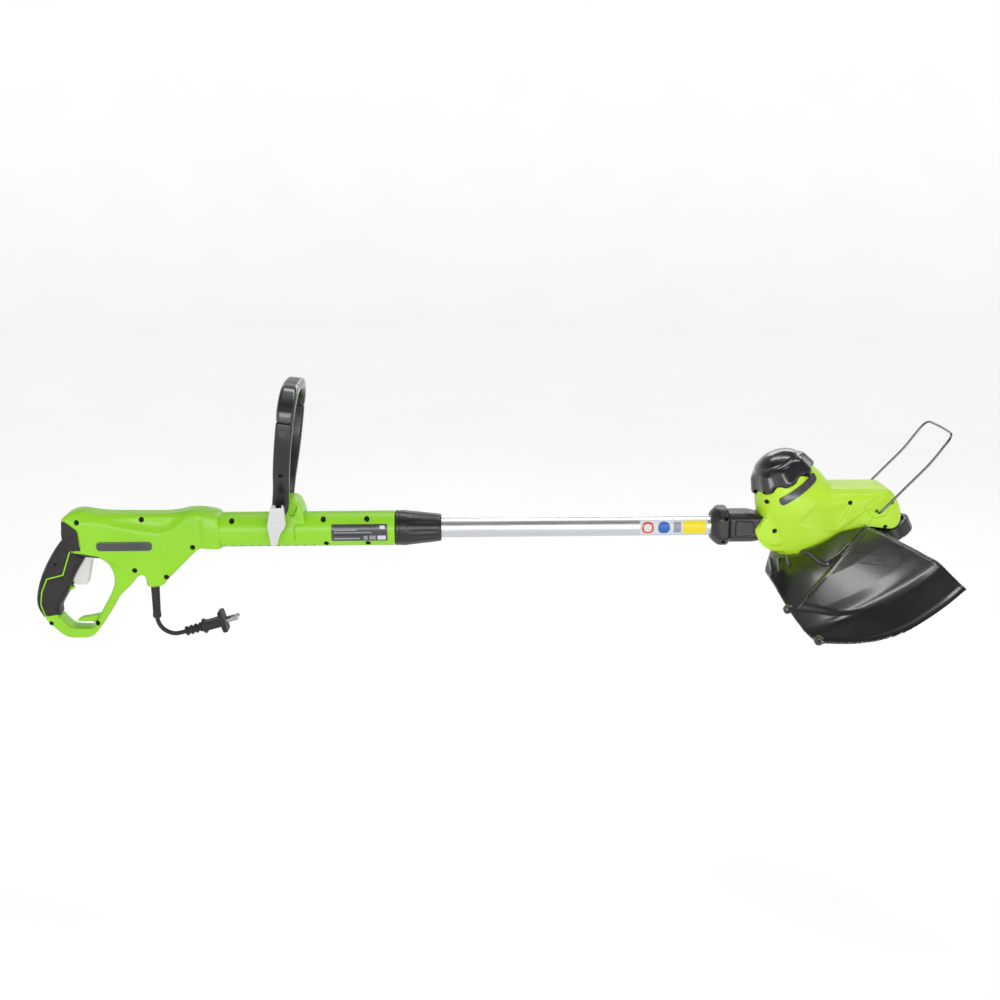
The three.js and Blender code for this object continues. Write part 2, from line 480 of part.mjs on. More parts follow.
// ---- motor and cutting line ----------------------------------------------------------------------
place(headFrame, 'motor_can', onMotor(turned([[11, -24], [29, -24], [29, 46], [26, 56], [11, 56], [11, 53],
  [24, 53], [26.5, 45], [26.5, -21], [11, -21]], 'z', 24)), STEEL);
place(headFrame, 'lower_bearing', onMotor(ring(4.3, 10.7, -24, -18, 'z', 24)), STEEL);
place(headFrame, 'upper_bearing', onMotor(ring(4.3, 10.7, 51, 57, 'z', 24)), STEEL);
place(headFrame, 'motor_shaft', onMotor(rod(4, -72, 64, 'z', 20)), STEEL);
place(headFrame, 'armature', onMotor(ring(4 + GAP, 22, -12, 26, 'z', 24)), COPPER);
place(headFrame, 'commutator', onMotor(ring(4 + GAP, 11, 29, 43, 'z', 20)), COPPER);
const FAN_BLADES = 8;
const fanBlades = Array.from({ length: FAN_BLADES }, (_, i) =>
  block([8, 28], [-0.9, 0.9], [63.5, 71]).rotate([0, 0, (360 / FAN_BLADES) * i]));
place(headFrame, 'cooling_fan', onMotor(join(rod(30, 72, 74, 'z', 32), ...fanBlades,
  rod(9, 64 + GAP, 73, 'z', 20))), BLACK);

const SPOOL = { r: 42, top: -40.5, bottom: -88 };
const eyelets = rod(2.6, -60, 60, 'y', 12).translate([0, 0, LINE.w]);
const spoolShell = turned([[4 + GAP, SPOOL.top], [30, SPOOL.top], [38, SPOOL.top - 3],
  [SPOOL.r, SPOOL.top - 12], [SPOOL.r, SPOOL.bottom], [SPOOL.r - 3, SPOOL.bottom], [SPOOL.r - 3, -53],
  [36, -46], [28, -43.5], [4 + GAP, -43.5]], 'z', 28);
place(headFrame, 'spool_housing', onMotor(cut(spoolShell, eyelets)), BLACK);
place(headFrame, 'spool', onMotor(turned([[4 + GAP, -47], [33, -47], [33, -49], [20, -50.5], [20, -69],
  [35, -70], [35, -72], [4 + GAP, -72]], 'z', 24)), BLACK);
place(headFrame, 'spool_spring', tube(new Coil(12, 4.2, 2), 0.8, 24, 5).rotate([90, 0, 0])
  .translate([MOTOR_U, 0, -78.2]), STEEL);
place(headFrame, 'bump_knob', onMotor(turned([[0, -84], [30, -84], [38.6, -84.5], [38.6, -87.5],
  [24, -90], [21, -97], [0, -97]], 'z', 24)), BLACK);
for (const [name, side] of [['line_end_1', -1], ['line_end_2', 1]]) {
  const line = rod(LINE.r, 36, LINE.reach, 'y', 8).translate([0, 0, LINE.w]);
  place(headFrame, name, onMotor(side < 0 ? line.rotate([0, 0, 180]) : line), LINE_YELLOW);
}

// ---- guard ---------------------------------------------------------------------------------------
const GUARD_PLAN = [
  [57, -45, 2], [110, -175, 2], [140, -240, 2], [-40, -240, 2], [-54, -196, 2], [-75, -165, 14],
  [-78, -110, 20], [-76, -60, 10], [-76, -20, 6], [-54, 16, 8], [-44, 40, 10], [-30, 48, 10], [30, 46, 10],
  [42, 20, 4], [42, -43, 4],
];
const guardProfile = [
  [26, -34], [50, -34], [50, -16], [54, -14.5], [SKIRT.creaseR, SKIRT.creaseW], [SKIRT.r, SKIRT.rimW],
  [SKIRT.r - SKIRT.thick, SKIRT.rimW], [SKIRT.creaseR - SKIRT.thick, SKIRT.creaseW - SKIRT.thick],
  [54, -18.6], [53, -37], [26, -37],
];
const GUARD_FIX = [[-32, 24], [-32, -24]];
const guardBolt = ([u, y], r, from, to) => rod(r, from, to, 'z', 14).translate([MOTOR_U + u, y, 0]);
const rearRib = block([-74, -71], [-44, -14], [-40, -24]);
const rimCut = plate([[-4, -91.5], [-104, -58.5], [-104, -120], [-4, -120]], -240, -60);
const skirtShell = onMotor(turned(guardProfile, 'z', 44)).intersect(slab(GUARD_PLAN, -120, 20));
const guardShell = cut(skirtShell, block([9, 120], [-45, 45], [-33, 60]), rimCut);
const guardHoles = GUARD_FIX.map((at) => guardBolt(at, 2.3, -50, -30));
place(headFrame, 'guard', cut(join(guardShell, rearRib), ...guardHoles), BLACK);
GUARD_FIX.forEach((at, i) => place(headFrame, `guard_screw_${i + 1}`, join(guardBolt(at, 2, -38, -31),
  guardBolt(at, 3.6, -39.6, -37 - GAP)), STEEL));
place(headFrame, 'line_cutter', block([167, 173.6], [-9, 9], [-80, -63.4]).rotate([0, 0, -59])
  .translate([MOTOR_U, 0, 0]), STEEL);

// ---- edging wheel and wire guide -----------------------------------------------------------------
const wheelTop = WHEEL.w + WHEEL.width / 2;
const wheelBottom = WHEEL.w - WHEEL.width / 2;
const wheelAt = (shape) => shape.translate([WHEEL.u, 0, 0]);
const treads = Array.from({ length: 12 }, (_, i) => block([WHEEL.r - 1.2, WHEEL.r + 2], [-1.1, 1.1],
  [wheelBottom - 1, wheelTop + 1]).rotate([0, 0, 30 * i]));
const tyre = ring(4.6, WHEEL.r, wheelBottom, wheelTop, 'z', 24);
place(headFrame, 'edge_wheel', wheelAt(cut(tyre, ...treads)), BLACK);
place(headFrame, 'wheel_axle', wheelAt(join(rod(4.2, wheelBottom - 1, -30, 'z', 16),
  rod(7, wheelBottom - 3, wheelBottom - GAP, 'z', 20))), STEEL);
const WIRE_ROUTE = [
  [77, 41.5, -11], [77, 46, -11], [80, 47.5, -9.8], [118, 47.5, 4.2], [152, 47.5, 16.5],
  [162, 47.5, 21], [177, 47.5, 28.6], [189, 46, 34.6], [194, 40, 37], [195.5, 22, 37.6],
];
place(headFrame, 'wire_guide', tube(curveThrough([...WIRE_ROUTE.map(([u, y, w]) => [u, -y, w]),
  ...WIRE_ROUTE.slice().reverse()]), WIRE_R, 46, 6), STEEL);

export default model;
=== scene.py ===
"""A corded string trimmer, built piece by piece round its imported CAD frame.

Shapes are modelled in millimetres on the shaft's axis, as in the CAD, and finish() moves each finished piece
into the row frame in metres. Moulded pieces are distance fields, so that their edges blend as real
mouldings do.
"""
import json
import math

import bmesh
import bpy
import numpy as np
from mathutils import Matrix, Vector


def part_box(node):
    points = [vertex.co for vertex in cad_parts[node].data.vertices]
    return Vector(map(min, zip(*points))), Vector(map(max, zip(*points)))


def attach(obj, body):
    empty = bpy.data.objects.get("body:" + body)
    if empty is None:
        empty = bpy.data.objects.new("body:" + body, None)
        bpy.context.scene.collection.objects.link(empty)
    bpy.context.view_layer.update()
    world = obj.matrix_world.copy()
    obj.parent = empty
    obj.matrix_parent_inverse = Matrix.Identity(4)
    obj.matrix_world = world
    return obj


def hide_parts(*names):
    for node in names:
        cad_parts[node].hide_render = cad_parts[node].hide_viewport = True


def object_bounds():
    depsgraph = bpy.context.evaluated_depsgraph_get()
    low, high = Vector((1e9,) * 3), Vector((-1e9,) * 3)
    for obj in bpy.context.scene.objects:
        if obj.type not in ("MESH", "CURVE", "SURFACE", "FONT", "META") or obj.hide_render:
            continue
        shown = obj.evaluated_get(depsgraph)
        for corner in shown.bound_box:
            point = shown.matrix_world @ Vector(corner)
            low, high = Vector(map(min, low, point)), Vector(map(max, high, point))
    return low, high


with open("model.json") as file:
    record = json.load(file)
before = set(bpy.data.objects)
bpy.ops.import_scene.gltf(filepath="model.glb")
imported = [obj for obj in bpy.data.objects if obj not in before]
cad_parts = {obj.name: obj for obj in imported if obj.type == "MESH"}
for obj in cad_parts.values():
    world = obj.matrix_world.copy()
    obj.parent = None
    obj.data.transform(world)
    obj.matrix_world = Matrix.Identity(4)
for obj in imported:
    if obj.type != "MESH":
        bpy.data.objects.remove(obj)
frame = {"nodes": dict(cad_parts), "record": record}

import openvdb
from mathutils import Matrix, Vector

CAD_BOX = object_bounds()
MM = 0.001
GAP = 0.3                      # clearance between touching pieces, mm

tube_low, tube_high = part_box("shaft_tube")
TUBE_START = 200.0             # station of the tube's rear end on the shaft's axis
AXIS_Z = (tube_low.z + tube_high.z) / 2


def shift(x=0.0, y=0.0, z=0.0):
    return Matrix.Translation((x, y, z))


def spin(degrees, axis):
    return Matrix.Rotation(math.radians(degrees), 4, axis)


SHAFT = shift(tube_low.x - TUBE_START * MM, 0, AXIS_Z) @ Matrix.Scale(MM, 4)
HEAD_X, HEAD_TILT = 941.0, 27.0
HEAD = SHAFT @ shift(HEAD_X) @ spin(-HEAD_TILT, "Y")
LOOP_X, LOOP_PIVOT_Z, LOOP_LEAN = 289.0, 33.0, 7.0
LOOP = SHAFT @ shift(LOOP_X, 0, LOOP_PIVOT_Z) @ spin(LOOP_LEAN, "Y")
MOTOR_U = -4.0                 # the motor's axis in the head's frame
MOTOR = HEAD @ shift(MOTOR_U)

# ---- camera --------------------------------------------------------------------------------------
VIEW_AZIMUTH, VIEW_ELEVATION = math.radians(2.0), math.radians(14.0)
VIEW_DISTANCE = 1.65
VIEW_RISE = 0.0331             # the view is lifted so that the shaft crosses just under the middle
LENS = 47.9
TARGET = Vector((0.5495, 0, AXIS_Z))


def make_camera():
    data = bpy.data.cameras.new("camera")
    data.lens = LENS
    data.clip_start = 0.01
    camera = bpy.data.objects.new("camera", data)
    bpy.context.scene.collection.objects.link(camera)
    towards = Vector((math.sin(VIEW_AZIMUTH) * math.cos(VIEW_ELEVATION),
                      math.cos(VIEW_AZIMUTH) * math.cos(VIEW_ELEVATION), -math.sin(VIEW_ELEVATION)))
    right = Vector((math.cos(VIEW_AZIMUTH), -math.sin(VIEW_AZIMUTH), 0))
    up = right.cross(towards)
    place = TARGET - VIEW_DISTANCE * towards + VIEW_RISE * up
    camera.matrix_world = shift(*place) @ Matrix((right, up, -towards)).transposed().to_4x4()
    bpy.context.scene.camera = camera


make_camera()


# ---- mesh helpers --------------------------------------------------------------------------------
def new_object(name, mesh):
    made = bpy.data.objects.new(name, mesh)
    bpy.context.scene.collection.objects.link(made)
    return made


def bake(piece):
    """Applies a piece's modifiers."""
    graph = bpy.context.evaluated_depsgraph_get()
    mesh = bpy.data.meshes.new_from_object(piece.evaluated_get(graph))
    piece.modifiers.clear()
    piece.data = mesh
    return piece


def moved(piece, place):
    piece.data.transform(place)
    return piece


def combine(piece, others, operation):
    for other in others:
        modifier = piece.modifiers.new("solid", "BOOLEAN")
        modifier.operation = operation
        modifier.solver = "MANIFOLD"
        modifier.object = other
    bake(piece)
    for other in others:
        bpy.data.objects.remove(other)
    return piece


def cut(piece, *others):
    return combine(piece, others, "DIFFERENCE")


def common(piece, *others):
    return combine(piece, others, "INTERSECT")


def from_grid(points, rows, columns, closed_row, closed_column, caps=False):
    """A mesh from rows of points, with faces between neighbours."""
    mesh = bpy.data.meshes.new("grid")
    faces = []
    for i in range(rows if closed_row else rows - 1):
        for j in range(columns if closed_column else columns - 1):
            a, b = i * columns + j, i * columns + (j + 1) % columns
            c, d = ((i + 1) % rows) * columns + (j + 1) % columns, ((i + 1) % rows) * columns + j
            faces.append((a, b, c, d))
    if caps:
        faces.append(tuple(range(columns))[::-1])
        faces.append(tuple(range((rows - 1) * columns, rows * columns)))
    mesh.from_pydata([tuple(p) for p in points], [], faces)
    work = bmesh.new()
    work.from_mesh(mesh)
    bmesh.ops.recalc_face_normals(work, faces=work.faces)
    work.to_mesh(mesh)
    work.free()
    return new_object("grid", mesh)


def turned(profile, axis="z", sides=96, radius_at=None):
    """A closed profile of (radius, along) turned round an axis; radius_at can flute it."""
    rings = []
    for radius, along in profile:
        for j in range(sides):
            angle = 2 * math.pi * j / sides
            r = max(radius, 0.02)
            if radius_at:
                r = radius_at(r, along, angle)
            a, b = r * math.cos(angle), r * math.sin(angle)
            rings.append({"x": (along, a, b), "y": (b, along, a), "z": (a, b, along)}[axis])
    return from_grid(rings, len(profile), sides, True, True)


def rod(r, start, end, axis="z", sides=64):
    return turned([(0, start), (r, start), (r, end), (0, end)], axis, sides)


def block(x, y, z, bevel=0.0):
    mesh = bpy.data.meshes.new("block")
    work = bmesh.new()
    bmesh.ops.create_cube(work, size=1)
    for v in work.verts:
        v.co = [low + (c + 0.5) * (high - low) for c, (low, high) in zip(v.co, (x, y, z))]
    if bevel:
        bmesh.ops.bevel(work, geom=list(work.edges), offset=bevel, segments=3, profile=0.5,
                        affect="EDGES")
    work.to_mesh(mesh)
    work.free()
    return new_object("block", mesh)


def centripetal(points, per_span=8):
    """Points along a smooth curve through the given ones."""
    p = [Vector(q) for q in points]
    p = [2 * p[0] - p[1], *p, 2 * p[-1] - p[-2]]
    out = []
    for a, b, c, d in zip(p, p[1:], p[2:], p[3:]):
        t0 = 0.0
        t1 = t0 + max((b - a).length, 1e-9) ** 0.5
        t2 = t1 + max((c - b).length, 1e-9) ** 0.5
        t3 = t2 + max((d - c).length, 1e-9) ** 0.5
        for i in range(per_span):
            t = t1 + (t2 - t1) * i / per_span
            ab = a.lerp(b, (t - t0) / (t1 - t0))
            bc = b.lerp(c, (t - t1) / (t2 - t1))
            cd = c.lerp(d, (t - t2) / (t3 - t2))
            abc = ab.lerp(bc, (t - t0) / (t2 - t0))
            bcd = bc.lerp(cd, (t - t1) / (t3 - t1))
            out.append(abc.lerp(bcd, (t - t1) / (t2 - t1)))
    out.append(p[-2])
    return out


def swept(path, section, width_axis=Vector((1, 0, 0))):
    """A closed section carried along a path; its first axis stays near width_axis."""
    rows = []
    for i, here in enumerate(path):
        ahead = path[min(i + 1, len(path) - 1)] - path[max(i - 1, 0)]
        tangent = ahead.normalized()
        first = (width_axis - tangent * width_axis.dot(tangent)).normalized()
        second = tangent.cross(first)
        rows += [here + first * a + second * b for a, b in section]
    return from_grid(rows, len(path), len(section), False, True, caps=True)


def circle(r, sides=16):
    return [(r * math.cos(2 * math.pi * i / sides), r * math.sin(2 * math.pi * i / sides))
            for i in range(sides)]


# ---- distance fields -----------------------------------------------------------------------------
def rounded(points, steps=5):
    """A polygon whose corners are rounded by the third number of each point."""
    out = []
    for i, point in enumerate(points):
        here = Vector(point[:2])
        radius = point[2] if len(point) > 2 else 0
        if not radius:
            out.append(here)
            continue
        ends = []
        for other in (points[i - 1], points[(i + 1) % len(points)]):
            away = Vector(other[:2]) - here
            ends.append(here + away.normalized() * min(radius, away.length / 2))
        for k in range(steps + 1):
            t = k / steps
            out.append((1 - t) ** 2 * ends[0] + 2 * t * (1 - t) * here + t * t * ends[1])
    return out


def outline(a, b, points):
    """Signed distance to a polygon, negative inside."""
    points = rounded(points)
    nearest = np.full(np.broadcast(a, b).shape, 1e9, np.float32)
    inside = np.zeros(nearest.shape, bool)
    for (x0, y0), (x1, y1) in zip(points, points[1:] + points[:1]):
        ex, ey = x1 - x0, y1 - y0
        wx, wy = a - x0, b - y0
        t = np.clip((wx * ex + wy * ey) / (ex * ex + ey * ey + 1e-12), 0, 1)
        nearest = np.minimum(nearest, (wx - ex * t) ** 2 + (wy - ey * t) ** 2)
        if abs(ey) > 1e-9:
            crosses = ((y0 <= b) & (b < y1)) | ((y1 <= b) & (b < y0))
            inside ^= crosses & (a < x0 + (b - y0) * ex / ey)
    return np.where(inside, -1, 1) * np.sqrt(nearest)


def extruded(flat, along, low, high, r=0.0):
    """A flat field carried from low to high, with its rims rounded by r. low and high may be fields."""
    across = np.maximum(low - along, along - high) + r
    flat = flat + r
    outside = np.sqrt(np.maximum(flat, 0) ** 2 + np.maximum(across, 0) ** 2)
    return np.minimum(np.maximum(flat, across), 0) + outside - r


def blend(a, b, k=0.0):
    """The union of two fields, with a fillet of about k."""
    if not k:
        return np.minimum(a, b)
    h = np.maximum(k - np.abs(a - b), 0) / k
    return np.minimum(a, b) - h * h * k / 4


def overlap(a, b, k=0.0):
    return -blend(-a, -b, k)


def less(a, b, k=0.0):
    return overlap(a, -b, k)


def smooth(low, high, value):
    t = np.clip((value - low) / (high - low), 0, 1)
    return t * t * (3 - 2 * t)


class Grid:
    """The sample points of a distance field."""

    def __init__(self, low, high, step):
        self.low, self.step = Vector(low), step
        axes = [np.arange(a, b + step, step, dtype=np.float32) for a, b in zip(low, high)]
        self.x, self.y, self.z = np.meshgrid(*axes, indexing="ij", sparse=True)

    def disc(self, axis, at=(0, 0)):
        """Distance from a line along an axis."""
        a, b = {"x": (self.y, self.z), "y": (self.x, self.z), "z": (self.x, self.y)}[axis]
        return np.sqrt((a - at[0]) ** 2 + (b - at[1]) ** 2)

    def rod(self, r, start, end, axis, at=(0, 0), rim=0.0):
        along = {"x": self.x, "y": self.y, "z": self.z}[axis]
        return extruded(self.disc(axis, at) - r, along, start, end, rim)

    def box(self, x, y, z, rim=0.0):
        flat = extruded(np.maximum(x[0] - self.x, self.x - x[1]), self.y, *y, rim)
        return extruded(flat, self.z, *z, rim)

    def turned(self, profile, axis="z", at=(0, 0)):
        along = {"x": self.x, "y": self.y, "z": self.z}[axis]
        return outline(self.disc(axis, at), along, profile)

    def mesh(self, name, field):
        """The surface where the field is zero."""
        volume = openvdb.FloatGrid(background=10.0)
        volume.copyFromArray(np.ascontiguousarray(field, dtype=np.float32))
        points, quads = volume.convertToQuads(0.0)
        points = points * self.step + np.array(self.low, np.float32)
        mesh = bpy.data.meshes.new(name)
        mesh.from_pydata(points.tolist(), [], quads[:, ::-1].tolist())
        work = bmesh.new()
        work.from_mesh(mesh)
        bmesh.ops.recalc_face_normals(work, faces=work.faces)
        work.to_mesh(mesh)
        work.free()
        return new_object(name, mesh)


def even(piece, rounds):
    """Takes the grid's steps out of a moulding."""
    modifier = piece.modifiers.new("even", "SMOOTH")
    modifier.iterations = rounds
    modifier.factor = 0.5
    return bake(piece)


def finish(piece, name, material, body, place=SHAFT, replaces=(), sharp=35.0):
    """Moves a piece into the row frame, and gives it its name, material and body."""
    moved(piece, place)
    piece.name = name
    piece.data.name = name
    piece.data.materials.clear()
    piece.data.materials.append(material)
    piece.data.shade_smooth()
    piece.data.set_sharp_from_angle(angle=math.radians(sharp))
    piece.data.update()
    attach(piece, body)
    if replaces:
        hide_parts(*replaces)
    return piece


def halves(piece, names, material, body, place=SHAFT):
    """Splits a moulding on its middle plane into the CAD's left and right shells."""
    far = 2000
    for name, span in zip(names, ((-far, -GAP / 2), (GAP / 2, far))):
        shell = new_object(name, piece.data.copy())
        common(shell, block((-far, far), span, (-far, far)))
        finish(shell, name + "_moulding", material, body, place, [name])
    bpy.data.objects.remove(piece)


# ---- materials -----------------------------------------------------------------------------------
def hexed(value):
    """An sRGB colour as the linear one that a shader takes."""
    parts = [(value >> shift & 255) / 255 for shift in (16, 8, 0)]
    return (*[c / 12.92 if c <= 0.04045 else ((c + 0.055) / 1.055) ** 2.4 for c in parts], 1)


class Look:
    """A procedural material round one principled shader, in the piece's own metres."""

    def __init__(self, name):
        self.material = bpy.data.materials.new(name)
        self.material.use_nodes = True
        self.nodes = self.material.node_tree.nodes
        self.links = self.material.node_tree.links
        self.shader = self.nodes["Principled BSDF"]
        self.where = self.add("ShaderNodeTexCoord").outputs["Object"]

    def add(self, kind, **values):
        made = self.nodes.new(kind)
        for key, value in values.items():
            if key in made.inputs:
                made.inputs[key].default_value = value
            else:
                setattr(made, key, value)
        return made

    def stretch(self, scale):
        mapping = self.add("ShaderNodeMapping", Scale=scale)
        self.links.new(self.where, mapping.inputs["Vector"])
        return mapping.outputs["Vector"]

    def noise(self, scale, detail=3.0, stretch=None):
        made = self.add("ShaderNodeTexNoise", Scale=scale, Detail=detail)
        self.links.new(self.stretch(stretch) if stretch else self.where, made.inputs["Vector"])
        return made.outputs["Fac"]

    def cells(self, scale):
        made = self.add("ShaderNodeTexVoronoi", Scale=scale, feature="SMOOTH_F1")
        self.links.new(self.where, made.inputs["Vector"])
        return made.outputs["Distance"]

    def ramp(self, source, low, high, start=0.35, end=0.65):
        """Maps a texture value onto a range, as a number or a colour."""
        made = self.add("ShaderNodeMapRange" if not isinstance(low, tuple) else "ShaderNodeValToRGB")
        if isinstance(low, tuple):
            made.color_ramp.elements[0].position, made.color_ramp.elements[0].color = start, low
            made.color_ramp.elements[1].position, made.color_ramp.elements[1].color = end, high
            self.links.new(source, made.inputs["Fac"])
            return made.outputs["Color"]
        for key, value in (("From Min", start), ("From Max", end), ("To Min", low), ("To Max", high)):
            made.inputs[key].default_value = value
        self.links.new(source, made.inputs["Value"])
        return made.outputs["Result"]

    def colour(self, source):
        self.links.new(source, self.shader.inputs["Base Color"])

    def roughness(self, source):
        self.links.new(source, self.shader.inputs["Roughness"])

    def bump(self, *layers):
        """Adds up bumps, each a (texture, height in metres, strength)."""
        normal = None
        for source, height, strength in layers:
            made = self.add("ShaderNodeBump", Distance=height, Strength=strength)
            self.links.new(source, made.inputs["Height"])
            if normal:
                self.links.new(normal, made.inputs["Normal"])
            normal = made.outputs["Normal"]
        self.links.new(normal, self.shader.inputs["Normal"])


def plastic(name, colour, shade, rough=(0.30, 0.38), grain=2600.0, grain_height=0.00004, coat=0.0):
    """A moulding with a fine spark-eroded grain and faint flow marks."""
    look = Look(name)
    look.colour(look.ramp(look.noise(14.0, 2.0), hexed(shade), hexed(colour), 0.3, 0.6))
    look.roughness(look.ramp(look.noise(60.0, 4.0), *rough))
    look.bump((look.noise(grain, 2.0), grain_height, 0.25), (look.noise(9.0, 1.0), 0.0004, 0.05))
    look.shader.inputs["Coat Weight"].default_value = coat
    look.shader.inputs["Coat Roughness"].default_value = 0.15
    look.shader.inputs["IOR"].default_value = 1.5
    return look.material


def rubber(name, colour, shade):
    """Soft overmoulded rubber: matt, pebbled, and a little lighter where it is rubbed."""
    look = Look(name)
    look.colour(look.ramp(look.noise(40.0, 4.0), hexed(shade), hexed(colour)))
    look.roughness(look.ramp(look.noise(120.0, 3.0), 0.55, 0.72))
    look.bump((look.cells(1500.0), 0.00012, 0.45), (look.noise(25.0, 2.0), 0.0004, 0.06))
    look.shader.inputs["Sheen Weight"].default_value = 0.12
    look.shader.inputs["Sheen Roughness"].default_value = 0.4
    return look.material


def metal(name, colour, shade, rough=(0.22, 0.34), stretch=(1, 1, 1), scale=300.0, height=0.00002):
    """Metal with fine marks drawn out along one axis."""
    look = Look(name)
    look.colour(look.ramp(look.noise(scale, 3.0, stretch), hexed(shade), hexed(colour)))
    look.roughness(look.ramp(look.noise(scale * 2, 3.0, stretch), *rough))
    look.bump((look.noise(scale * 3, 2.0, stretch), height, 0.3))
    look.shader.inputs["Metallic"].default_value = 1.0
    return look.material


GREEN = plastic("green_moulding", 0x92D61A, 0x8ACE14, rough=(0.34, 0.42), coat=0.08)
LIME = plastic("lime_moulding", 0xBCEA2E, 0xB4E228, rough=(0.34, 0.42), coat=0.08)
BLACK = plastic("black_moulding", 0x18181B, 0x131316, rough=(0.32, 0.42), grain=1800.0, coat=0.3)
GLOSS_BLACK = plastic("smooth_black_moulding", 0x131317, 0x0F0F12, rough=(0.18, 0.26), coat=0.8)
GUARD_BLACK = plastic("guard_moulding", 0x0E0F11, 0x0A0B0C, rough=(0.27, 0.34), grain=1400.0,
                      grain_height=0.00001, coat=0.8)
RUBBER = rubber("grip_rubber", 0x262322, 0x1E1C1B)
BOOT = rubber("boot_rubber", 0x202022, 0x1A1A1C)
SLEEVE = plastic("sleeve_rubber", 0x1E1E20, 0x18181A, rough=(0.24, 0.34), grain=1200.0, coat=0.8)
# Painted shade: a near-black, dull material with almost no reflection, for the strip that stands for the
# shadow in the rack's gaps.
GAP_SHADOW = plastic("painted_gap_shadow", 0x0C0C0E, 0x08080A, rough=(0.85, 0.95))
GAP_SHADOW.node_tree.nodes["Principled BSDF"].inputs["Specular IOR Level"].default_value = 0.05
GREY = plastic("grey_moulding", 0xDCDBDB, 0xD2D1D1, rough=(0.32, 0.42))
PILL = plastic("badge_lacquer", 0x46484A, 0x3A3C3E, rough=(0.22, 0.3), coat=0.3)
ALUMINIUM = metal("drawn_aluminium", 0xE4E6E8, 0xD6D9DC, rough=(0.27, 0.34), stretch=(0.02, 1, 1),
                  scale=900.0, height=0.000006)
STEEL = metal("bright_steel", 0xB4B6BA, 0x9C9EA4, stretch=(1, 1, 0.2), height=0.000004)
DARK_STEEL = metal("blackened_steel", 0x34343A, 0x26262A, rough=(0.35, 0.5))
WIRE_STEEL = metal("wire_steel", 0x77797D, 0x606367, rough=(0.18, 0.26), stretch=(0.05, 1, 0.05),
                   height=0.000002)
COPPER = metal("copper_winding", 0xC07A48, 0x9A5A30, scale=1200.0, stretch=(0.1, 0.1, 1))
LINE = plastic("nylon_line", 0xD8E04A, 0xC8D03E, rough=(0.25, 0.35))
STICKER = {name: plastic(f"label_{name}", colour, shade, rough=(0.25, 0.35)) for name, colour, shade in (
    ("pale", 0xD4D8DE, 0xCBD0D6), ("yellow", 0xF2DC1C, 0xEAD212), ("blue", 0x2C66B8, 0x255CA8),
    ("red", 0xD2573C, 0xC64C32), ("dark", 0x303034, 0x28282C), ("grey", 0x9A9CA2, 0x8E9096))}

# ---- power cord ----------------------------------------------------------------------------------
CORD_X, CORD_R = 127.0, 2.7
CORD_ROUTE = [
    (127, 0, -42), (127, 0, -52), (127, 0, -64), (127, 0, -76), (127, 0, -88), (127, 0, -100),
    (127, 0, -112), (127.8, 0, -118), (130, 0, -123.4), (133.6, 0, -128), (138.2, 0, -131.5),
    (143.7, 0, -133.8), (149.5, 0, -134.5), (155.7, 0, -133.6), (160.5, 0, -132.2),
]
PLUG_AT, PLUG_RISE = (160.8, 0, -132.1), 16.0
PLUG = SHAFT @ shift(*PLUG_AT) @ spin(-PLUG_RISE, "Y")
PIN_SPACING, PIN_THICK, PIN_WIDTH = 12.7, 1.6, 4.4


def make_cord():
    path = centripetal(CORD_ROUTE, 6)
    cord = finish(swept(path, circle(CORD_R, 20), Vector((0, 1, 0))), "power_cord_lead", BOOT, "handle",
                  replaces=["power_cord"])
    # The tapered sleeve has two shallow rings at its mouth, as a bend relief does.
    sleeve = finish(turned([(3.1, -56), (5.6, -56), (5.6, -69), (5.45, -72), (5.3, -76), (5.0, -92),
                            (4.8, -106), (5.2, -108), (5.2, -111), (4.5, -113), (3.1, -113)], "z", 48),
                    "cord_bend_relief", BOOT, "handle",
                    SHAFT @ shift(CORD_X), ["cord_sleeve"])
    plug = make_plug()
    blades = [make_blade(name, side) for name, side in (("plug_blade_left", -1), ("plug_blade_right", 1))]


def make_plug():
    """A flat two-pin plug with a ribbed boot, a waisted body and a wide flange."""
    g = Grid((-2, -16, -16), (58, 16, 16), 0.5)
    boot = g.rod(4.4, 0.4, 30, "x", rim=0.6)
    for start in (1.2, 7.2, 13.2, 19.2):
        boot = blend(boot, g.rod(6.0, start, start + 3.2, "x", rim=0.8), 0.8)
    flat = outline(g.x, g.y, [(24, -10.5, 2), (28, -10.5, 2), (31, -8, 3), (51, -9.5, 2), (51, 9.5, 2),
                              (31, 8, 3), (28, 10.5, 2), (24, 10.5, 2)])
    body = extruded(flat, g.z, -5.5, 5.5, 2.0)
    collar = g.rod(9.5, 24.2, 27.2, "x", rim=0.8)
    plate = outline(g.y, g.z, [(-12, -14, 6), (12, -14, 6), (12, 14, 6), (-12, 14, 6)])
    flange = extruded(plate, g.x, 47.4, 53.0, 1.4)
    whole = blend(blend(blend(boot, collar, 1.2), body, 1.5), flange, 2.0)
    return finish(even(g.mesh("plug", whole), 2), "plug_moulding", BOOT, "handle", PLUG,
                  ["plug_body"])


def make_blade(node, side):
    y = side * PIN_SPACING / 2
    made = block((53.4, 70.2), (y - PIN_THICK / 2, y + PIN_THICK / 2), (-PIN_WIDTH / 2, PIN_WIDTH / 2), 0.45)
    return finish(made, node + "_brass", STEEL, "handle", PLUG, [node])


make_cord()


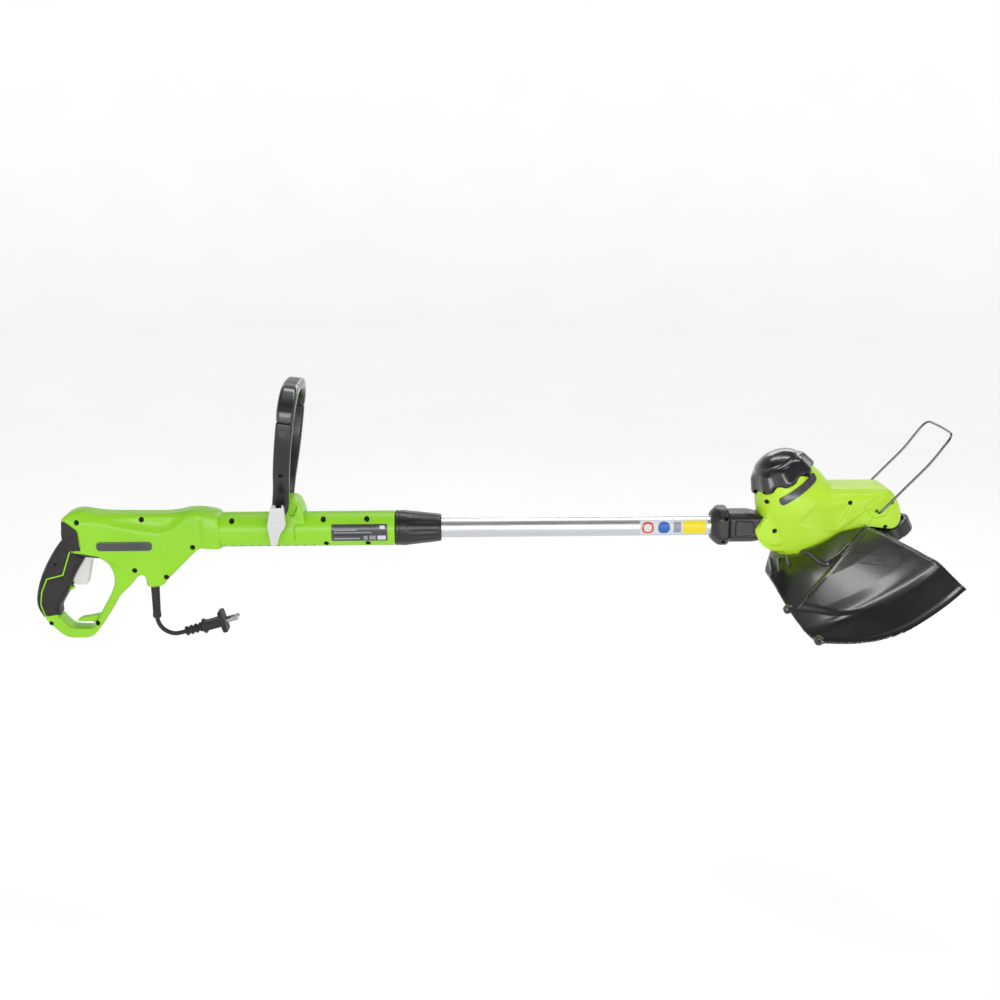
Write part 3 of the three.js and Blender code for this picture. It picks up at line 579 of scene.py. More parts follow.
# ---- rear handle ---------------------------------------------------------------------------------
BODY_OUTLINE = [
    (23, 20, 5), (41, 30, 10), (66, 23.5, 20), (156, 22.5, 20), (184, 29.5, 14), (212, 21.5, 6),
    (212, -20.8, 2), (187, -19, 6), (148, -58, 6), (139, -69, 6), (121, -69, 5), (118, -55, 4),
    (96, -52, 6), (80, -38, 6), (66, -32, 4), (46, -29, 4), (26, -20, 4), (21, -4, 6),
]
BODY_CAVITY = [
    (30, 16, 4), (160, 17.5, 8), (205, 17, 4), (205, -16, 4), (183, -15, 4), (146, -53, 4), (121, -52, 4),
    (104, -46, 6), (84, -28, 4), (62, -24, 4), (34, -12, 4),
]
D_OUTLINE = [
    (30, 8, 2), (23, -4, 8), (11, -19, 12), (-2.5, -41, 14), (-12.5, -64, 14), (-17.5, -86, 12),
    (-15.5, -98, 8), (-7.5, -112, 8), (16, -135.5, 10), (48, -135.5, 8), (60, -121, 8), (75, -98, 8),
    (84, -82, 10), (99, -69, 8), (112, -52, 6), (112, -30, 2), (40, 8, 2),
]
D_OPENING = [
    (66, -32, 5), (49, -30, 5), (33, -52, 12), (26, -69, 10), (15, -88, 6), (10, -96, 5), (12, -109, 5),
    (24, -121.5, 6), (49, -122.5, 6), (62, -99, 8), (74, -79, 10), (81, -61, 10), (76, -43, 8),
]
GRIP_OUTLINE = [
    (29, -2, 1), (23, -4.5, 5), (11, -19, 12), (-2.5, -41, 14), (-12.5, -64, 14), (-17.5, -86, 12),
    (-15.5, -98, 8), (-9, -109.5, 3), (11, -106, 3), (10, -96, 4), (15, -88, 6), (26, -69, 10),
    (33, -52, 12), (47, -31, 2), (40, -24, 3),
]
GRIP_CORE = [
    (30, -14, 2), (15, -21, 8), (1, -43, 12), (-9, -65, 12), (-14, -86, 10), (-12, -97, 6),
    (-7, -111, 3), (9, -109, 3), (6.6, -97, 4), (11.8, -88, 6), (22.8, -70, 8), (29.8, -53, 8),
    (45, -29, 2), (40, -18, 2),
]
GRIP_ZONE = [
    (-60, -1), (26, -1), (30, -16.6), (50, -29), (34, -53), (27, -70), (16, -88.5), (11.5, -96), (14, -106.2),
    (-8, -110), (-60, -110),
]
HOOK_OUTLINE = [
    (60, -106, 2), (44, -109.5, 8), (34, -110.5, 4), (28, -115.5, 2), (31, -116, 2), (48, -116, 2),
    (50, -118, 2), (57, -117, 2),
]
BODY_HALF, FRAME_HALF, GRIP_HALF, CORE_HALF = 22.0, 13.0, 17.0, 12.2
BARREL_R, BARREL_BORE, BARREL_END = 21.5, 18.2, 426.0
BODY_END = 213.2                     # the body's fillet stops where the sliding clamp comes closest
RACK_START, RACK_COUNT, RACK_PITCH, RACK_HALF, RACK_GAP = 203, 12, 11, 11, 4.4
# Screw pockets: where they are, and how deep the screw's head lies from the middle plane.
BODY_SCREWS = [(42, 15, 15), (119, 17, 13), (107, -47, 13), (180, -17, 13), (145, -56, 13), (-1, -116, 8),
               (56, -116, 8)]
BARREL_SCREWS = [(228, 14, 9.5), (339, 15, 9.5), (392, 15, 9.5), (342, -15, 9.5), (393, -15, 9.5)]
POCKET_R, HEAD_R, HEAD_SEAT = 3.3, 3.0, 1.9
BADGE = [(64, -9.5, 5), (131, -9.5, 5), (131, -20.5, 5), (64, -20.5, 5)]
# The soft panels: the rear cap of the body, and the grip in a front and a back piece.
CAP_PANEL = [(10, 17, 2), (28, 17, 2), (43, 5, 4), (45, -21.5, 2), (10, -21.5, 2)]
APRON = [(20, -24.2, 1), (48, -24.2, 1), (58, -27.5, 1), (66, -29.5, 1), (66, -40, 1), (20, -40, 1)]
NUB = [(17, -69.6, 1), (27, -69.8, 2.5), (28.5, -74, 2.5), (21, -76.5, 2), (15, -76, 1)]
STRIPE_PATH = [(22, -2), (32, -19), (29, -25), (19.5, -52), (-0.5, -57), (-8, -74), (-10.5, -90), (-5, -112)]
STRIPE_HALF = 1.1
NUB_HALF = 5


def polyline(a, b, points):
    """Distance to an open line of points."""
    nearest = np.full(np.broadcast(a, b).shape, 1e9, np.float32)
    for (x0, y0), (x1, y1) in zip(points, points[1:]):
        ex, ey = x1 - x0, y1 - y0
        t = np.clip(((a - x0) * ex + (b - y0) * ey) / (ex * ex + ey * ey), 0, 1)
        nearest = np.minimum(nearest, (a - x0 - ex * t) ** 2 + (b - y0 - ey * t) ** 2)
    return np.sqrt(nearest)


def cross(arm, half, start, end, axis):
    """The two cutters of a cross recess, the second a touch shallower."""
    made = []
    for a, b, far in ((arm, half, end), (half, arm, end - 0.05)):
        spans = [(-a, a), (-b, b)]
        spans.insert("xyz".index(axis), (start, far))
        made.append(block(*spans))
    return made


def screw(name, place, body, r, length=4.0):
    """A pan-head screw with a cross recess, its head's face at the origin and facing -Y."""
    head = turned([(0, 0.0), (r - 0.6, 0.0), (r, 0.5), (r, 1.8), (r * 0.5, 1.8), (r * 0.5, length),
                   (0, length)], "y", 24)
    cut(head, *cross(r * 0.62, 0.35, -1, 1.0, "y"))
    return finish(head, name, DARK_STEEL, body, place)


def screws(name, places, body, place, r, length=4.0):
    """A row of screws that face left, each at (x, z, distance of its head from the middle plane)."""
    return [screw(f"{name}_{i + 1}", place @ shift(x, -depth - HEAD_SEAT, z), body, r, length)
            for i, (x, z, depth) in enumerate(places)]


def pockets(places, r, start):
    """Cutters for such a row's pockets, from y = start."""
    return [moved(rod(r, start, -depth, "y", 32), shift(x, 0, z)) for x, z, depth in places]


def trigger_slot():
    return (block((18, 60), (-7.8, 7.8), (-70.5, -24)), block((45, 61), (-7.8, 7.8), (-34, -18)))


def flank(g):
    """The rear body's half width: full down the flank, and bevelled from a sharp line up to the top."""
    shoulder = np.interp(g.x, (20, 46, 68, 92, 120, 140, 154, 168, 180),
                         (16, 14, 13, 7, 1.5, -1, 2.5, 14, 26))
    reach = smooth(28, 38, g.x) * smooth(187, 176, g.x)
    above = np.clip((g.z - shoulder) / 18, 0, 1)
    bevel = (6.8 * (1 - (1 - above) ** 2) + 0.5 * np.exp(-((g.z - shoulder) / 1.2) ** 2)) * reach
    tuck = smooth(-24, -27.5, g.z) * smooth(46, 62, g.x) * smooth(152, 140, g.x) * smooth(-62, -40, g.z)
    badge = outline(g.x, g.z, [(56, -5, 6), (141, -5, 11), (143, -25, 11), (60, -25, 6)])
    pocket = smooth(0.9, -0.9, badge)
    facet = smooth(0.8, -0.8, outline(g.x, g.z, [(183, 26, 2), (214, 23, 2), (214, -14, 2),
                                                 (189, -15, 3)]))
    narrow = 6.0 * smooth(-22, -62, g.z)
    return BODY_HALF - bevel - 2.2 * tuck - 0.8 * pocket - 1.4 * facet - narrow


def rack_gaps(g, slack=0.0):
    """The row of gaps under the barrel, as a field."""
    half = RACK_GAP / 2
    phase = (g.x - RACK_START) % RACK_PITCH
    ends = np.maximum(RACK_START - g.x, g.x - RACK_START - RACK_COUNT * RACK_PITCH)
    gaps = extruded(np.abs(phase - half) - (half - slack), g.y, 2 * slack - RACK_HALF, RACK_HALF - 2 * slack)
    return overlap(gaps, np.maximum(ends, g.z))


def body_field(g):
    body = extruded(outline(g.x, g.z, BODY_OUTLINE), np.abs(g.y), -BODY_HALF, flank(g), 5.5)
    section = outline(g.y, g.z, [(-22, -80, 4), (22, -80, 4), (22, 31.0, 22), (-22, 31.0, 22)])
    return overlap(body, section, 3.0)


def make_handle():
    g = Grid((-22, -26, -140), (428, 26, 36), 1.1)
    opening = outline(g.x, g.z, D_OPENING)
    body = body_field(g)
    barrel = g.rod(BARREL_R, 195, BARREL_END, "x", rim=0.5)
    ring = less(outline(g.x, g.z, D_OUTLINE), opening, 2.0)
    ring = less(ring, outline(g.x, g.z, GRIP_ZONE))
    # The D's bottom bar and strut are waisted between the rims of their two shells.
    bow = 1.3 * smooth(6, 1, np.abs(outline(g.x, g.z, D_OUTLINE) + 7.0))
    shell = blend(body, extruded(ring, np.abs(g.y), -FRAME_HALF, FRAME_HALF - bow, 4.5), 7.0)
    shell = less(shell, extruded(opening, g.y, -60, 60), 2.5)
    shell = blend(shell, barrel, 9.0)
    shell = np.maximum(shell, np.minimum(g.x - BODY_END, barrel))
    shell = blend(shell, extruded(outline(g.x, g.z, HOOK_OUTLINE), g.y, -5, 5, 1.2), 2.0)
    shell = blend(shell, g.rod(10, -71, -58, "z", (CORD_X, 0), 1.5), 3.0)
    cavity = extruded(outline(g.x, g.z, BODY_CAVITY), np.abs(g.y), -BODY_HALF, flank(g) - 3.0, 2.0)
    pillars = [g.rod(5, -19.5, 19.5, "y", at[:2]) for at in BODY_SCREWS[:4]]
    for pillar in pillars:
        cavity = less(cavity, pillar)
    shell = less(shell, cavity)
    shell = blend(shell, extruded(outline(g.x, g.z, GRIP_CORE), g.y, -CORE_HALF, CORE_HALF, 3.0), 1.0)
    shell = less(shell, g.rod(6.1, -80, -50, "z", (CORD_X, 0)))
    # A soft inlay wraps the body's rear, and a rack of gaps for the sliding clamp runs under the barrel.
    soft = blend(outline(g.x, g.z, CAP_PANEL), outline(g.x, g.z, APRON))
    shell = less(shell, overlap(soft, -(body + 1.3)) + 0 * g.y)
    shell = blend(shell, extruded(outline(g.x, g.z, NUB), g.y, -NUB_HALF, NUB_HALF, 1.5), 0.5)
    shell = less(shell, overlap(rack_gaps(g), -(barrel + 2.2)))
    piece = even(g.mesh("handle", shell), 2)
    cut(piece, rod(BARREL_BORE, 180, 440, "x", 96), block((186, 206), (-16, 16), (-14, 14)),
        *trigger_slot())
    places = BODY_SCREWS + BARREL_SCREWS
    cut(piece, *pockets(places, POCKET_R, -40))
    halves(piece, ("housing_left", "housing_right"), GREEN, "handle")
    made = screws("housing_fixing", places, "handle", SHAFT, HEAD_R, 3.6)
    for i in (1, 2):
        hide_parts(f"housing_screw_{i}")

    # A near-black strip lies at the bottom of the rack's gaps: painted shade that darkens them.
    g = Grid((RACK_START - 4, -14, -24), (RACK_START + RACK_COUNT * RACK_PITCH + 4, 14, -14), 0.8)
    barrel = g.rod(BARREL_R, 195, BARREL_END, "x")
    shadow_strip = overlap(rack_gaps(g, 0.2), overlap(barrel + 0.25, -(barrel + 2.1)))
    finish(even(g.mesh("shadow_strip", shadow_strip), 1), "rack_painted_shadow_strip", GAP_SHADOW, "handle")

    # The inlay stands flush with the body, and is pulled in a little at its edge.
    g = Grid((-22, -26, -50), (70, 26, 36), 1.0)
    body = body_field(g)
    for name, region in (("body_soft_cap", CAP_PANEL), ("body_soft_apron", APRON)):
        inlay = overlap(outline(g.x, g.z, region) + 0.35, overlap(body + 0.1, -(body + 1.25)), 0.8)
        inlay = even(g.mesh("inlay", inlay + 0 * g.y), 2)
        cut(inlay, *trigger_slot())
        finish(inlay, name, RUBBER, "handle")


def make_grip():
    g = Grid((-20, -19, -114), (52, 19, 2), 0.8)
    flat = outline(g.x, g.z, GRIP_OUTLINE)
    swell = 1.2 * smooth(-110, -60, g.z) + 0 * g.x
    grip = extruded(flat, np.abs(g.y), -GRIP_HALF, GRIP_HALF - 1.2 + swell, 9.0)
    core = extruded(outline(g.x, g.z, GRIP_CORE) - GAP, g.y, -CORE_HALF - GAP, CORE_HALF + GAP, 3.0)
    line = polyline(g.x, g.z, STRIPE_PATH)
    groove = overlap(line - STRIPE_HALF - 0.35 + 0 * g.y, -(grip + 1.6))
    body = body_field(g)
    nub = extruded(outline(g.x, g.z, NUB), g.y, -NUB_HALF, NUB_HALF, 1.5)
    pads = less(less(less(less(grip, core), body - GAP), groove, 0.5), nub - GAP)
    piece = even(g.mesh("grip", pads), 2)
    dimple = moved(rod(3.2, -30, -14.4, "y", 4), shift(12, 0, -38) @ Matrix.Rotation(0.4, 4, "Y"))
    cut(piece, *trigger_slot(), dimple)
    halves(piece, ("grip_pad_left", "grip_pad_right"), RUBBER, "handle")

    stripe = overlap(line - STRIPE_HALF + 0 * g.y, overlap(grip + 0.15, -(grip + 1.5)), 0.6)
    stripe = less(stripe, body - GAP)
    stripe = even(g.mesh("stripe", stripe), 1)
    finish(stripe, "grip_stripe", GREEN, "handle")


def make_trigger():
    g = Grid((24, -9, -72), (62, 9, -18), 0.6)
    flat = outline(g.x, g.z, [
        (58, -22, 4), (58, -34, 4), (53, -36, 3), (48.5, -58, 6), (45.5, -68, 3), (30, -68, 3),
        (27, -60, 6), (38, -42, 10), (45, -30, 4), (47.5, -22, 4)])
    ribs = 0.35 * (0.5 + 0.5 * np.cos(2 * math.pi * g.z / 4.0)) * smooth(-38, -42, g.z)
    blade = extruded(flat + ribs, g.y, -7, 7, 2.0)
    pin = g.rod(2.1, -9, 9, "y", (53, -26))
    spring = g.box((44, 60), (3, 8), (-34, -18))
    finish(even(g.mesh("trigger", less(less(blade, pin), spring)), 2), "trigger_moulding", GREY,
           "trigger", replaces=["trigger"])


def make_badge():
    low, high = -BODY_HALF - 0.5, -BODY_HALF + 3.2
    g = Grid((63, low - 1, -21.5), (132, high + 1, -8.5), 0.5)
    plaque = g.mesh("badge", extruded(outline(g.x, g.z, BADGE), g.y, low, high, 0.4))
    finish(plaque, "badge_pill", PILL, "handle", replaces=["badge_plate"])


make_handle()
make_grip()
make_trigger()
make_badge()


# ---- loop handle ---------------------------------------------------------------------------------
SADDLE_X, SADDLE_R, SADDLE_HALF = (276.0, 304.0), 25.2, 21.0
LOOP_PATH = [(-27.5, -16), (-27.5, 4), (-33, 26), (-49, 48), (-59, 74), (-62, 102), (-57, 128),
             (-40, 143), (-15, 147)]
LEG_WIDTH, LEG_THICK, PAD_START = 20.0, 11.0, 112.0
LEVER_Y, LEVER_FORK = -41.5, 3.5


def make_bracket():
    g = Grid((270, -26, -24), (322, 26, 46), 0.8)
    saddle = outline(g.x, g.z, [(274, 21, 4), (280, 41, 7), (308, 42, 9), (314, 30, 6), (318, 10, 3),
                                (276, 8, 3)])
    taper = 2.5 * smooth(20, 42, g.z)
    cheek = extruded(saddle, np.abs(g.y), -SADDLE_HALF, SADDLE_HALF - taper, 3.0)
    strap = g.rod(SADDLE_R, *SADDLE_X, "x", rim=1.2)
    strap = less(strap, g.box((260, 330), (-40, 40), (-60, -11), 0))
    whole = less(blend(strap, cheek, 4.0), g.rod(BARREL_R + GAP, 250, 340, "x"))
    whole = less(whole, g.rod(3.4, -40, 40, "y", (LOOP_X, LOOP_PIVOT_Z)))
    # A shallow pocket lightens the cheek behind the leg.
    hollow = extruded(outline(g.x, g.z, [(304, 20, 3), (309, 34, 3), (300, 37, 3), (297, 22, 3)]),
                      np.abs(g.y), SADDLE_HALF - 4.0, 40, 1.0)
    finish(even(g.mesh("bracket", less(whole, hollow, 1.0)), 2), "loop_bracket_moulding", GREEN,
           "bracket", replaces=["loop_bracket"])


def loop_line(g):
    half = centripetal([(0, y, z) for y, z in LOOP_PATH], 5)
    path = [(p.y, p.z) for p in half] + [(-p.y, p.z) for p in reversed(half)]
    return polyline(g.y, g.z, path)


def make_loop():
    g = Grid((-13, -72, -14), (13, 72, 157), 1.0)
    line = loop_line(g)
    # The legs are flat bars with a raised rib down the middle, and stay clear of the barrel.
    rib = 0.7 * smooth(5.5, 3.5, np.abs(g.x)) * smooth(20, 34, g.z) * smooth(104, 92, g.z)
    bars = extruded(line - LEG_THICK / 2 - rib, g.x, -LEG_WIDTH / 2, LEG_WIDTH / 2, 3.6)
    inner = extruded(line - LEG_THICK / 2 + 1.9, g.x, -LEG_WIDTH / 2 + 1.9, LEG_WIDTH / 2 - 1.9, 2.6)
    zone = blend(0 * g.x - g.z, g.rod(10, -60, 60, "y"))
    bar = blend(overlap(bars, g.z + 0 * g.x - PAD_START), inner)
    bar = less(overlap(bar, zone, 1.0), g.rod(3.4, -60, 60, "y"))
    piece = even(g.mesh("loop", bar), 2)
    cut(piece, moved(rod(2.6, -80, -50.5, "y", 24), shift(0, 0, 47)))
    finish(piece, "loop_frame_moulding", BLACK, "loop", LOOP, ["loop_frame"])
    screw("loop_fixing", LOOP @ shift(0, -53.0, 47), "loop", 2.3)

    soft = 0.8 * smooth(PAD_START, PAD_START + 14, g.z)
    grip = extruded(line - LEG_THICK / 2 - soft, g.x, -LEG_WIDTH / 2 - soft, LEG_WIDTH / 2 + soft, 5.2)
    ribs = 0.45 * smooth(0.35, 0.8, np.sin(2 * math.pi * g.y / 6.0)) * smooth(30, 26, np.abs(g.y))
    grip = grip + ribs * smooth(142, 145, g.z)
    grip = less(grip, inner - GAP + 0 * g.z)
    grip = overlap(grip, PAD_START + GAP - g.z + 0 * g.y, 1.5)
    finish(even(g.mesh("loop_pad", grip), 2), "loop_grip_sleeve", SLEEVE, "loop", LOOP,
           ["loop_grip"])


def make_lever():
    g = Grid((272, -49.5, -15), (300, -30, 45), 0.6)
    section = outline(g.y, g.z, [(-38, 36, 2), (-38, 26, 2), (-37, 10, 4), (-32.5, -12, 2), (-35.5, -13, 1),
                                 (-41, 8, 6), (-47.3, 24, 4), (-47.3, 39, 4), (-41, 41, 2)])
    face = outline(g.x, g.z, [(281, 43, 3), (295, 43, 3), (297, 14, 5), (289, 3, 5), (284, -13, 3),
                              (277, -13, 3), (274, 14, 4), (277, 28, 5)])
    lever = overlap(section + 0 * g.x, face + 0 * g.y, 2.0)
    dish = extruded(outline(g.x, g.z, [(279, 20, 3), (291, 20, 3), (291, 12, 4), (284, 2, 3),
                                       (279, 6, 3)]), g.y, -60, -43.6, 1.5)
    fork = g.box((LOOP_X - LEVER_FORK, LOOP_X + LEVER_FORK), (-46.1, -30), (LOOP_PIVOT_Z - 7, 60))
    pin = g.rod(1.8, 278.5, 295.5, "x", (LEVER_Y, LOOP_PIVOT_Z))
    lever = less(less(less(lever, dish, 1.5), fork), pin)
    finish(even(g.mesh("lever", lever), 2), "clamp_lever_moulding", GREY, "lever",
           replaces=["clamp_lever"])


# ---- shaft, collar and labels --------------------------------------------------------------------
TUBE_R, TUBE_WALL, TUBE_END = 12.7, 1.2, 850.0


def prism(points, low, high):
    """A rounded outline in the X-Z plane carried from y = low to y = high."""
    shape = rounded(points, 6)
    rows = [(x, low, z) for x, z in shape] + [(x, high, z) for x, z in shape]
    return from_grid(rows, 2, len(shape), False, True, caps=True)


def label(name, look, body, radius, x, z, corner, depth):
    """A thin label on the left of a round bar, outlined in side view."""
    outside = turned([(radius - 0.4, x[0] - 2), (radius + depth, x[0] - 2), (radius + depth, x[1] + 2),
                      (radius - 0.4, x[1] + 2)], "x", 128)
    shape = prism([(x[0], z[0], corner), (x[1], z[0], corner), (x[1], z[1], corner), (x[0], z[1], corner)],
                  -40, -3)
    return finish(common(outside, shape), name, look, body)


def make_labels():
    rating = label("rating_label", PILL, "handle", BARREL_R, (349, 417), (-11, 10), 1.5, 0.6)
    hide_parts("rating_plate")
    # Plain fields take the place of the printing.
    fields = [("dark", 352, 404, 6.0, 8.6), ("grey", 352, 380, 2.6, 4.0), ("grey", 352, 398, -0.6, 0.8),
              ("dark", 352, 392, -3.8, -2.4), ("grey", 352, 384, -8.6, -6.6), ("pale", 408, 414, 4.4, 8.4),
              ("grey", 388, 393, -9.4, -4.0), ("grey", 395, 403, -9.4, -4.0), ("pale", 405, 415, -9.4, -4.0)]
    for i, (tone, x0, x1, z0, z1) in enumerate(fields):
        label(f"rating_field_{i + 1}", STICKER[tone], "handle", BARREL_R + 0.6, (x0, x1),
              (z0, z1), 0.3, 0.12)
    label("shaft_label", STICKER["pale"], "shaft", TUBE_R, (728, 812), (-9.5, 9.5), 1.0, 0.12)
    patches = [("yellow", 782, 810, -8.0, 8.4, 1.0), ("grey", 770, 779, -6.5, 7.0, 0.8)]
    for i, (tone, x0, x1, z0, z1, corner) in enumerate(patches):
        label(f"shaft_patch_{i + 1}", STICKER[tone], "shaft", TUBE_R + 0.12, (x0, x1),
              (z0, z1), corner, 0.12)
    for i, (tone, x) in enumerate((("red", 738), ("blue", 758))):
        label(f"shaft_disc_{i + 1}", STICKER[tone], "shaft", TUBE_R + 0.12, (x - 7.5, x + 7.5),
              (-7.5, 7.5), 15, 0.12)
        if tone == "red":
            label("shaft_disc_middle", STICKER["pale"], "shaft", TUBE_R + 0.24,
                  (x - 5, x + 5), (-5, 5), 10, 0.1)


def make_shaft():
    wall = TUBE_R - TUBE_WALL
    tube = turned([(wall, TUBE_START), (TUBE_R - 0.3, TUBE_START), (TUBE_R, TUBE_START + 0.3),
                   (TUBE_R, TUBE_END - 0.3), (TUBE_R - 0.3, TUBE_END), (wall, TUBE_END)], "x", 128)
    finish(tube, "shaft_drawn_tube", ALUMINIUM, "shaft", replaces=["shaft_tube"])

    def flutes(r, along, angle):
        """Twelve shallow hollows round the cone, between a plain band and the nose."""
        if r < 16.5:
            return r
        hollow = max(0.0, math.cos(12 * angle)) ** 0.7 * 0.55
        fade = min(1.0, max(0.0, (along - 443) / 4)) * min(1.0, max(0.0, (480.5 - along) / 4))
        return r - hollow * fade
    start, end, r, nose = 426.5, 483.0, 21.8, 17.0
    profile = [(17.4, start), (r - 0.8, start), (r, start + 0.8), (r, 430.5), (r - 0.5, 431),
               (r - 0.5, 432), (r, 432.5), (r, 440), (r - 0.4, 441.5)]
    profile += [(r - 0.4 - (r - 0.4 - nose) * t, 441.5 + (end - 443.0) * t) for t in
                (k / 14 for k in range(1, 15))]
    profile += [(nose - 0.9, end), (13.2, end), (13.2, 470), (17.4, 459)]
    collar = turned(profile, "x", 144, flutes)
    finish(collar, "lock_collar_moulding", BLACK, "collar", replaces=["lock_collar"])


make_bracket()
make_loop()
make_lever()
make_labels()
make_shaft()


# ---- neck ----------------------------------------------------------------------------------------
NECK_START, NECK_SHOULDER = 815.0, 838.0
PIVOT_X, PIVOT_Z, PIVOT_R, PIVOT_HALF = 892.0, -1.0, 14.0, 20.0
TILT_SIN, TILT_COS = math.sin(math.radians(HEAD_TILT)), math.cos(math.radians(HEAD_TILT))
# The pivot in the head's frame.
PIVOT_U = (PIVOT_X - HEAD_X) * TILT_COS + PIVOT_Z * TILT_SIN
PIVOT_W = (HEAD_X - PIVOT_X) * TILT_SIN + PIVOT_Z * TILT_COS
NECK_SCREWS = [(833, 13, 15.5), (831, -17, 12.5)]


def octagon(w, h, c):
    return [(-w + c, -h, 2), (w - c, -h, 2), (w, -h + c, 2), (w, h - c, 2), (w - c, h, 2), (-w + c, h, 2),
            (-w, h - c, 2), (-w, -h + c, 2)]


def make_neck():
    g = Grid((812, -26, -26), (910, 26, 26), 0.8)
    head = extruded(outline(g.y, g.z, octagon(22.5, 23, 10)), g.x, NECK_START + 1.5, NECK_SHOULDER, 2.5)
    cone = g.disc("x") - 14.6 - (g.x - NECK_START) * 1.0
    head = overlap(head, cone, 2.0)
    # The body tapers towards the pivot, and ends in two ears.
    slim = 5.0 * smooth(862, 884, g.x)
    flat = outline(g.y, g.z, octagon(19.6, 19, 7)) + 0 * g.x
    flat = overlap(flat, np.abs(g.z + 1) - (19 - slim) + 0 * g.y, 1.0)
    body = extruded(flat, g.x, NECK_SHOULDER - 1, PIVOT_X - 8, 1.5)
    ear = extruded(g.disc("y", (PIVOT_X, PIVOT_Z)) - PIVOT_R, np.abs(g.y), 13.2, 19.6, 1.0)
    bridge = g.box((PIVOT_X - 14, PIVOT_X), (-19.6, 19.6), (PIVOT_Z - 13.2, PIVOT_Z + 13.2), 1.0)
    neck = blend(blend(blend(head, body, 2.5), bridge, 1.5), ear, 0.5)
    inward = np.maximum(19 - np.abs(g.z), 19 - np.abs(g.y))
    groove = extruded(np.abs(g.x - 841.5) - 0.8, inward, -50, 0.6)
    neck = less(neck, groove, 0.6)
    panel = extruded(outline(g.x, g.z, [(846, 10, 3), (868, 8, 3), (868, -9, 3), (846, -10, 3)]),
                     np.abs(g.y), 18.7, 40, 0.4)
    neck = less(neck, panel, 0.5)
    for solid in (g.box((PIVOT_X - 11, PIVOT_X + 30), (-13.2, 13.2), (-30, 30)),
                  g.rod(TUBE_R + GAP, 800, TUBE_END + 2, "x"), g.rod(16.8, 842.6, 852, "x"),
                  g.rod(8, 850, 870, "x"), g.box((858, 884), (-10, 10), (-8, 8)),
                  g.rod(4.4, -40, 40, "y", (PIVOT_X, PIVOT_Z))):
        neck = less(neck, solid)
    piece = even(g.mesh("neck", neck), 2)
    cut(piece, *pockets(NECK_SCREWS, 2.6, -40))
    halves(piece, ("neck_left", "neck_right"), BLACK, "neck")
    screws("neck_fixing", NECK_SCREWS, "neck", SHAFT, 2.4)


# ---- head casing ---------------------------------------------------------------------------------
CAP_SEAM = 72.0
DOME = [(0, -30), (40, -30, 3), (46, -18, 4), (47, -6, 4), (47, 41, 10), (44.8, 54, 6), (39.7, 65.7, 2),
        (38.9, CAP_SEAM, 1), (0, CAP_SEAM)]
MOTOR_BAY = [(0, -26), (36, -26, 2), (41, -16), (41, 46), (36.7, 65), (36.3, 72), (36.3, 90), (0, 90)]
NOSE_SIDE = [
    (10, -29.5, 2), (30, -29.5, 6), (58, -22, 8), (76, -35, 4), (87, -42, 6), (99, -38, 6), (107, -26, 6),
    (109.5, -8, 8), (101, 7, 6), (90, 15, 6), (72, 27, 10), (50, 36, 10), (40, 41, 2), (10, 41, 2),
]
NOSE_PLAN = [
    (-10, -44, 2), (30, -44, 10), (60, -40, 10), (95, -37, 8), (108, -28, 8), (108, 28, 8), (95, 37, 8),
    (60, 40, 10), (30, 44, 10), (-10, 44, 2),
]
NOSE_SECTION = [(-46, -110, 2), (46, -110, 2), (46, 52, 32), (-46, 52, 32)]
CHEEK_SIDE = [
    (-66, 32, 6), (-66, 10, 10), (-56, -4, 8), (-42, -11, 8), (-27, -22, 6), (0, -29, 2), (0, 42, 2),
    (-42, 46, 4), (-52, 38, 6),
]
CHEEK_HALF = 27.0
# The flank's sunk panel, the band that steps in under it, and the clip that holds the wire's end.
RECESS = [(-16, 24, 6), (-12, 17, 4), (24, -4, 3), (44, 8, 5), (60, 15, 5), (82, 17, 4), (70, 27, 10),
          (40, 42, 10)]
LEDGE = [(-8, 12, 3), (22, -10, 3), (36, -8, 4), (67, -3, 4), (76, -12, 4), (62, -20, 5), (30, -24, 6),
         (0, -18, 6)]
CLIP = [(64, 3, 4), (90, 5, 4), (93, -16, 4), (84, -21, 4), (70, -18, 4)]
# Screw pockets, each with the distance of the screw's head from the middle plane.
HEAD_SCREWS = [(20.5, 69.0, 34), (51.5, 15.0, 36), (4.3, -21.0, 40), (-37.2, 59.0, 24), (98.5, -10.0, 30),
               (78.0, -33.5, 34)]
CAP_LOBES = 8
CAP_OUTER = [(0, CAP_SEAM + GAP), (38.7, CAP_SEAM + GAP, 1), (37.9, 76, 3), (33.4, 88, 5), (25, 98, 5),
             (13, 103.8, 6), (0, 105.2)]
CAP_INNER = [(0, 50), (36, 50), (36, CAP_SEAM + GAP), (35.2, 75.6, 3), (30.8, 86.4, 4), (23, 95.6, 4),
             (12, 101, 4), (0, 102.4)]
WHEEL_U, WIRE_U, WIRE_W = 88.0, 77.0, -11.0


def cap_field(g, grow=0.0):
    """The motor cap: a dome whose sides swell into lobes that hang over the casing."""
    dome = g.turned(CAP_OUTER, "z", (MOTOR_U, 0))
    angle = np.arctan2(g.y, g.x - MOTOR_U)
    fold = (angle * CAP_LOBES / (2 * math.pi) + 0.5) % 1.0 - 0.5
    across = fold * 2 * math.pi / CAP_LOBES * 39.0
    radial = g.disc("z", (MOTOR_U, 0))
    lean = 41.6 - 0.42 * np.maximum(g.z - 72, 0)
    lobe = np.sqrt((across / 10.5) ** 2 + ((radial - lean + 7.0) / 7.6) ** 2) - 1.0
    lobe = extruded(lobe * 7.0, g.z, 67.5, 89, 3.0)
    whole = blend(dome, lobe, 3.5)
    # A parting groove sets off the smooth crown.
    groove = np.sqrt((radial - 30.2) ** 2 + (g.z - 94.0) ** 2) - 2.5
    return less(whole, groove, 0.6) - grow


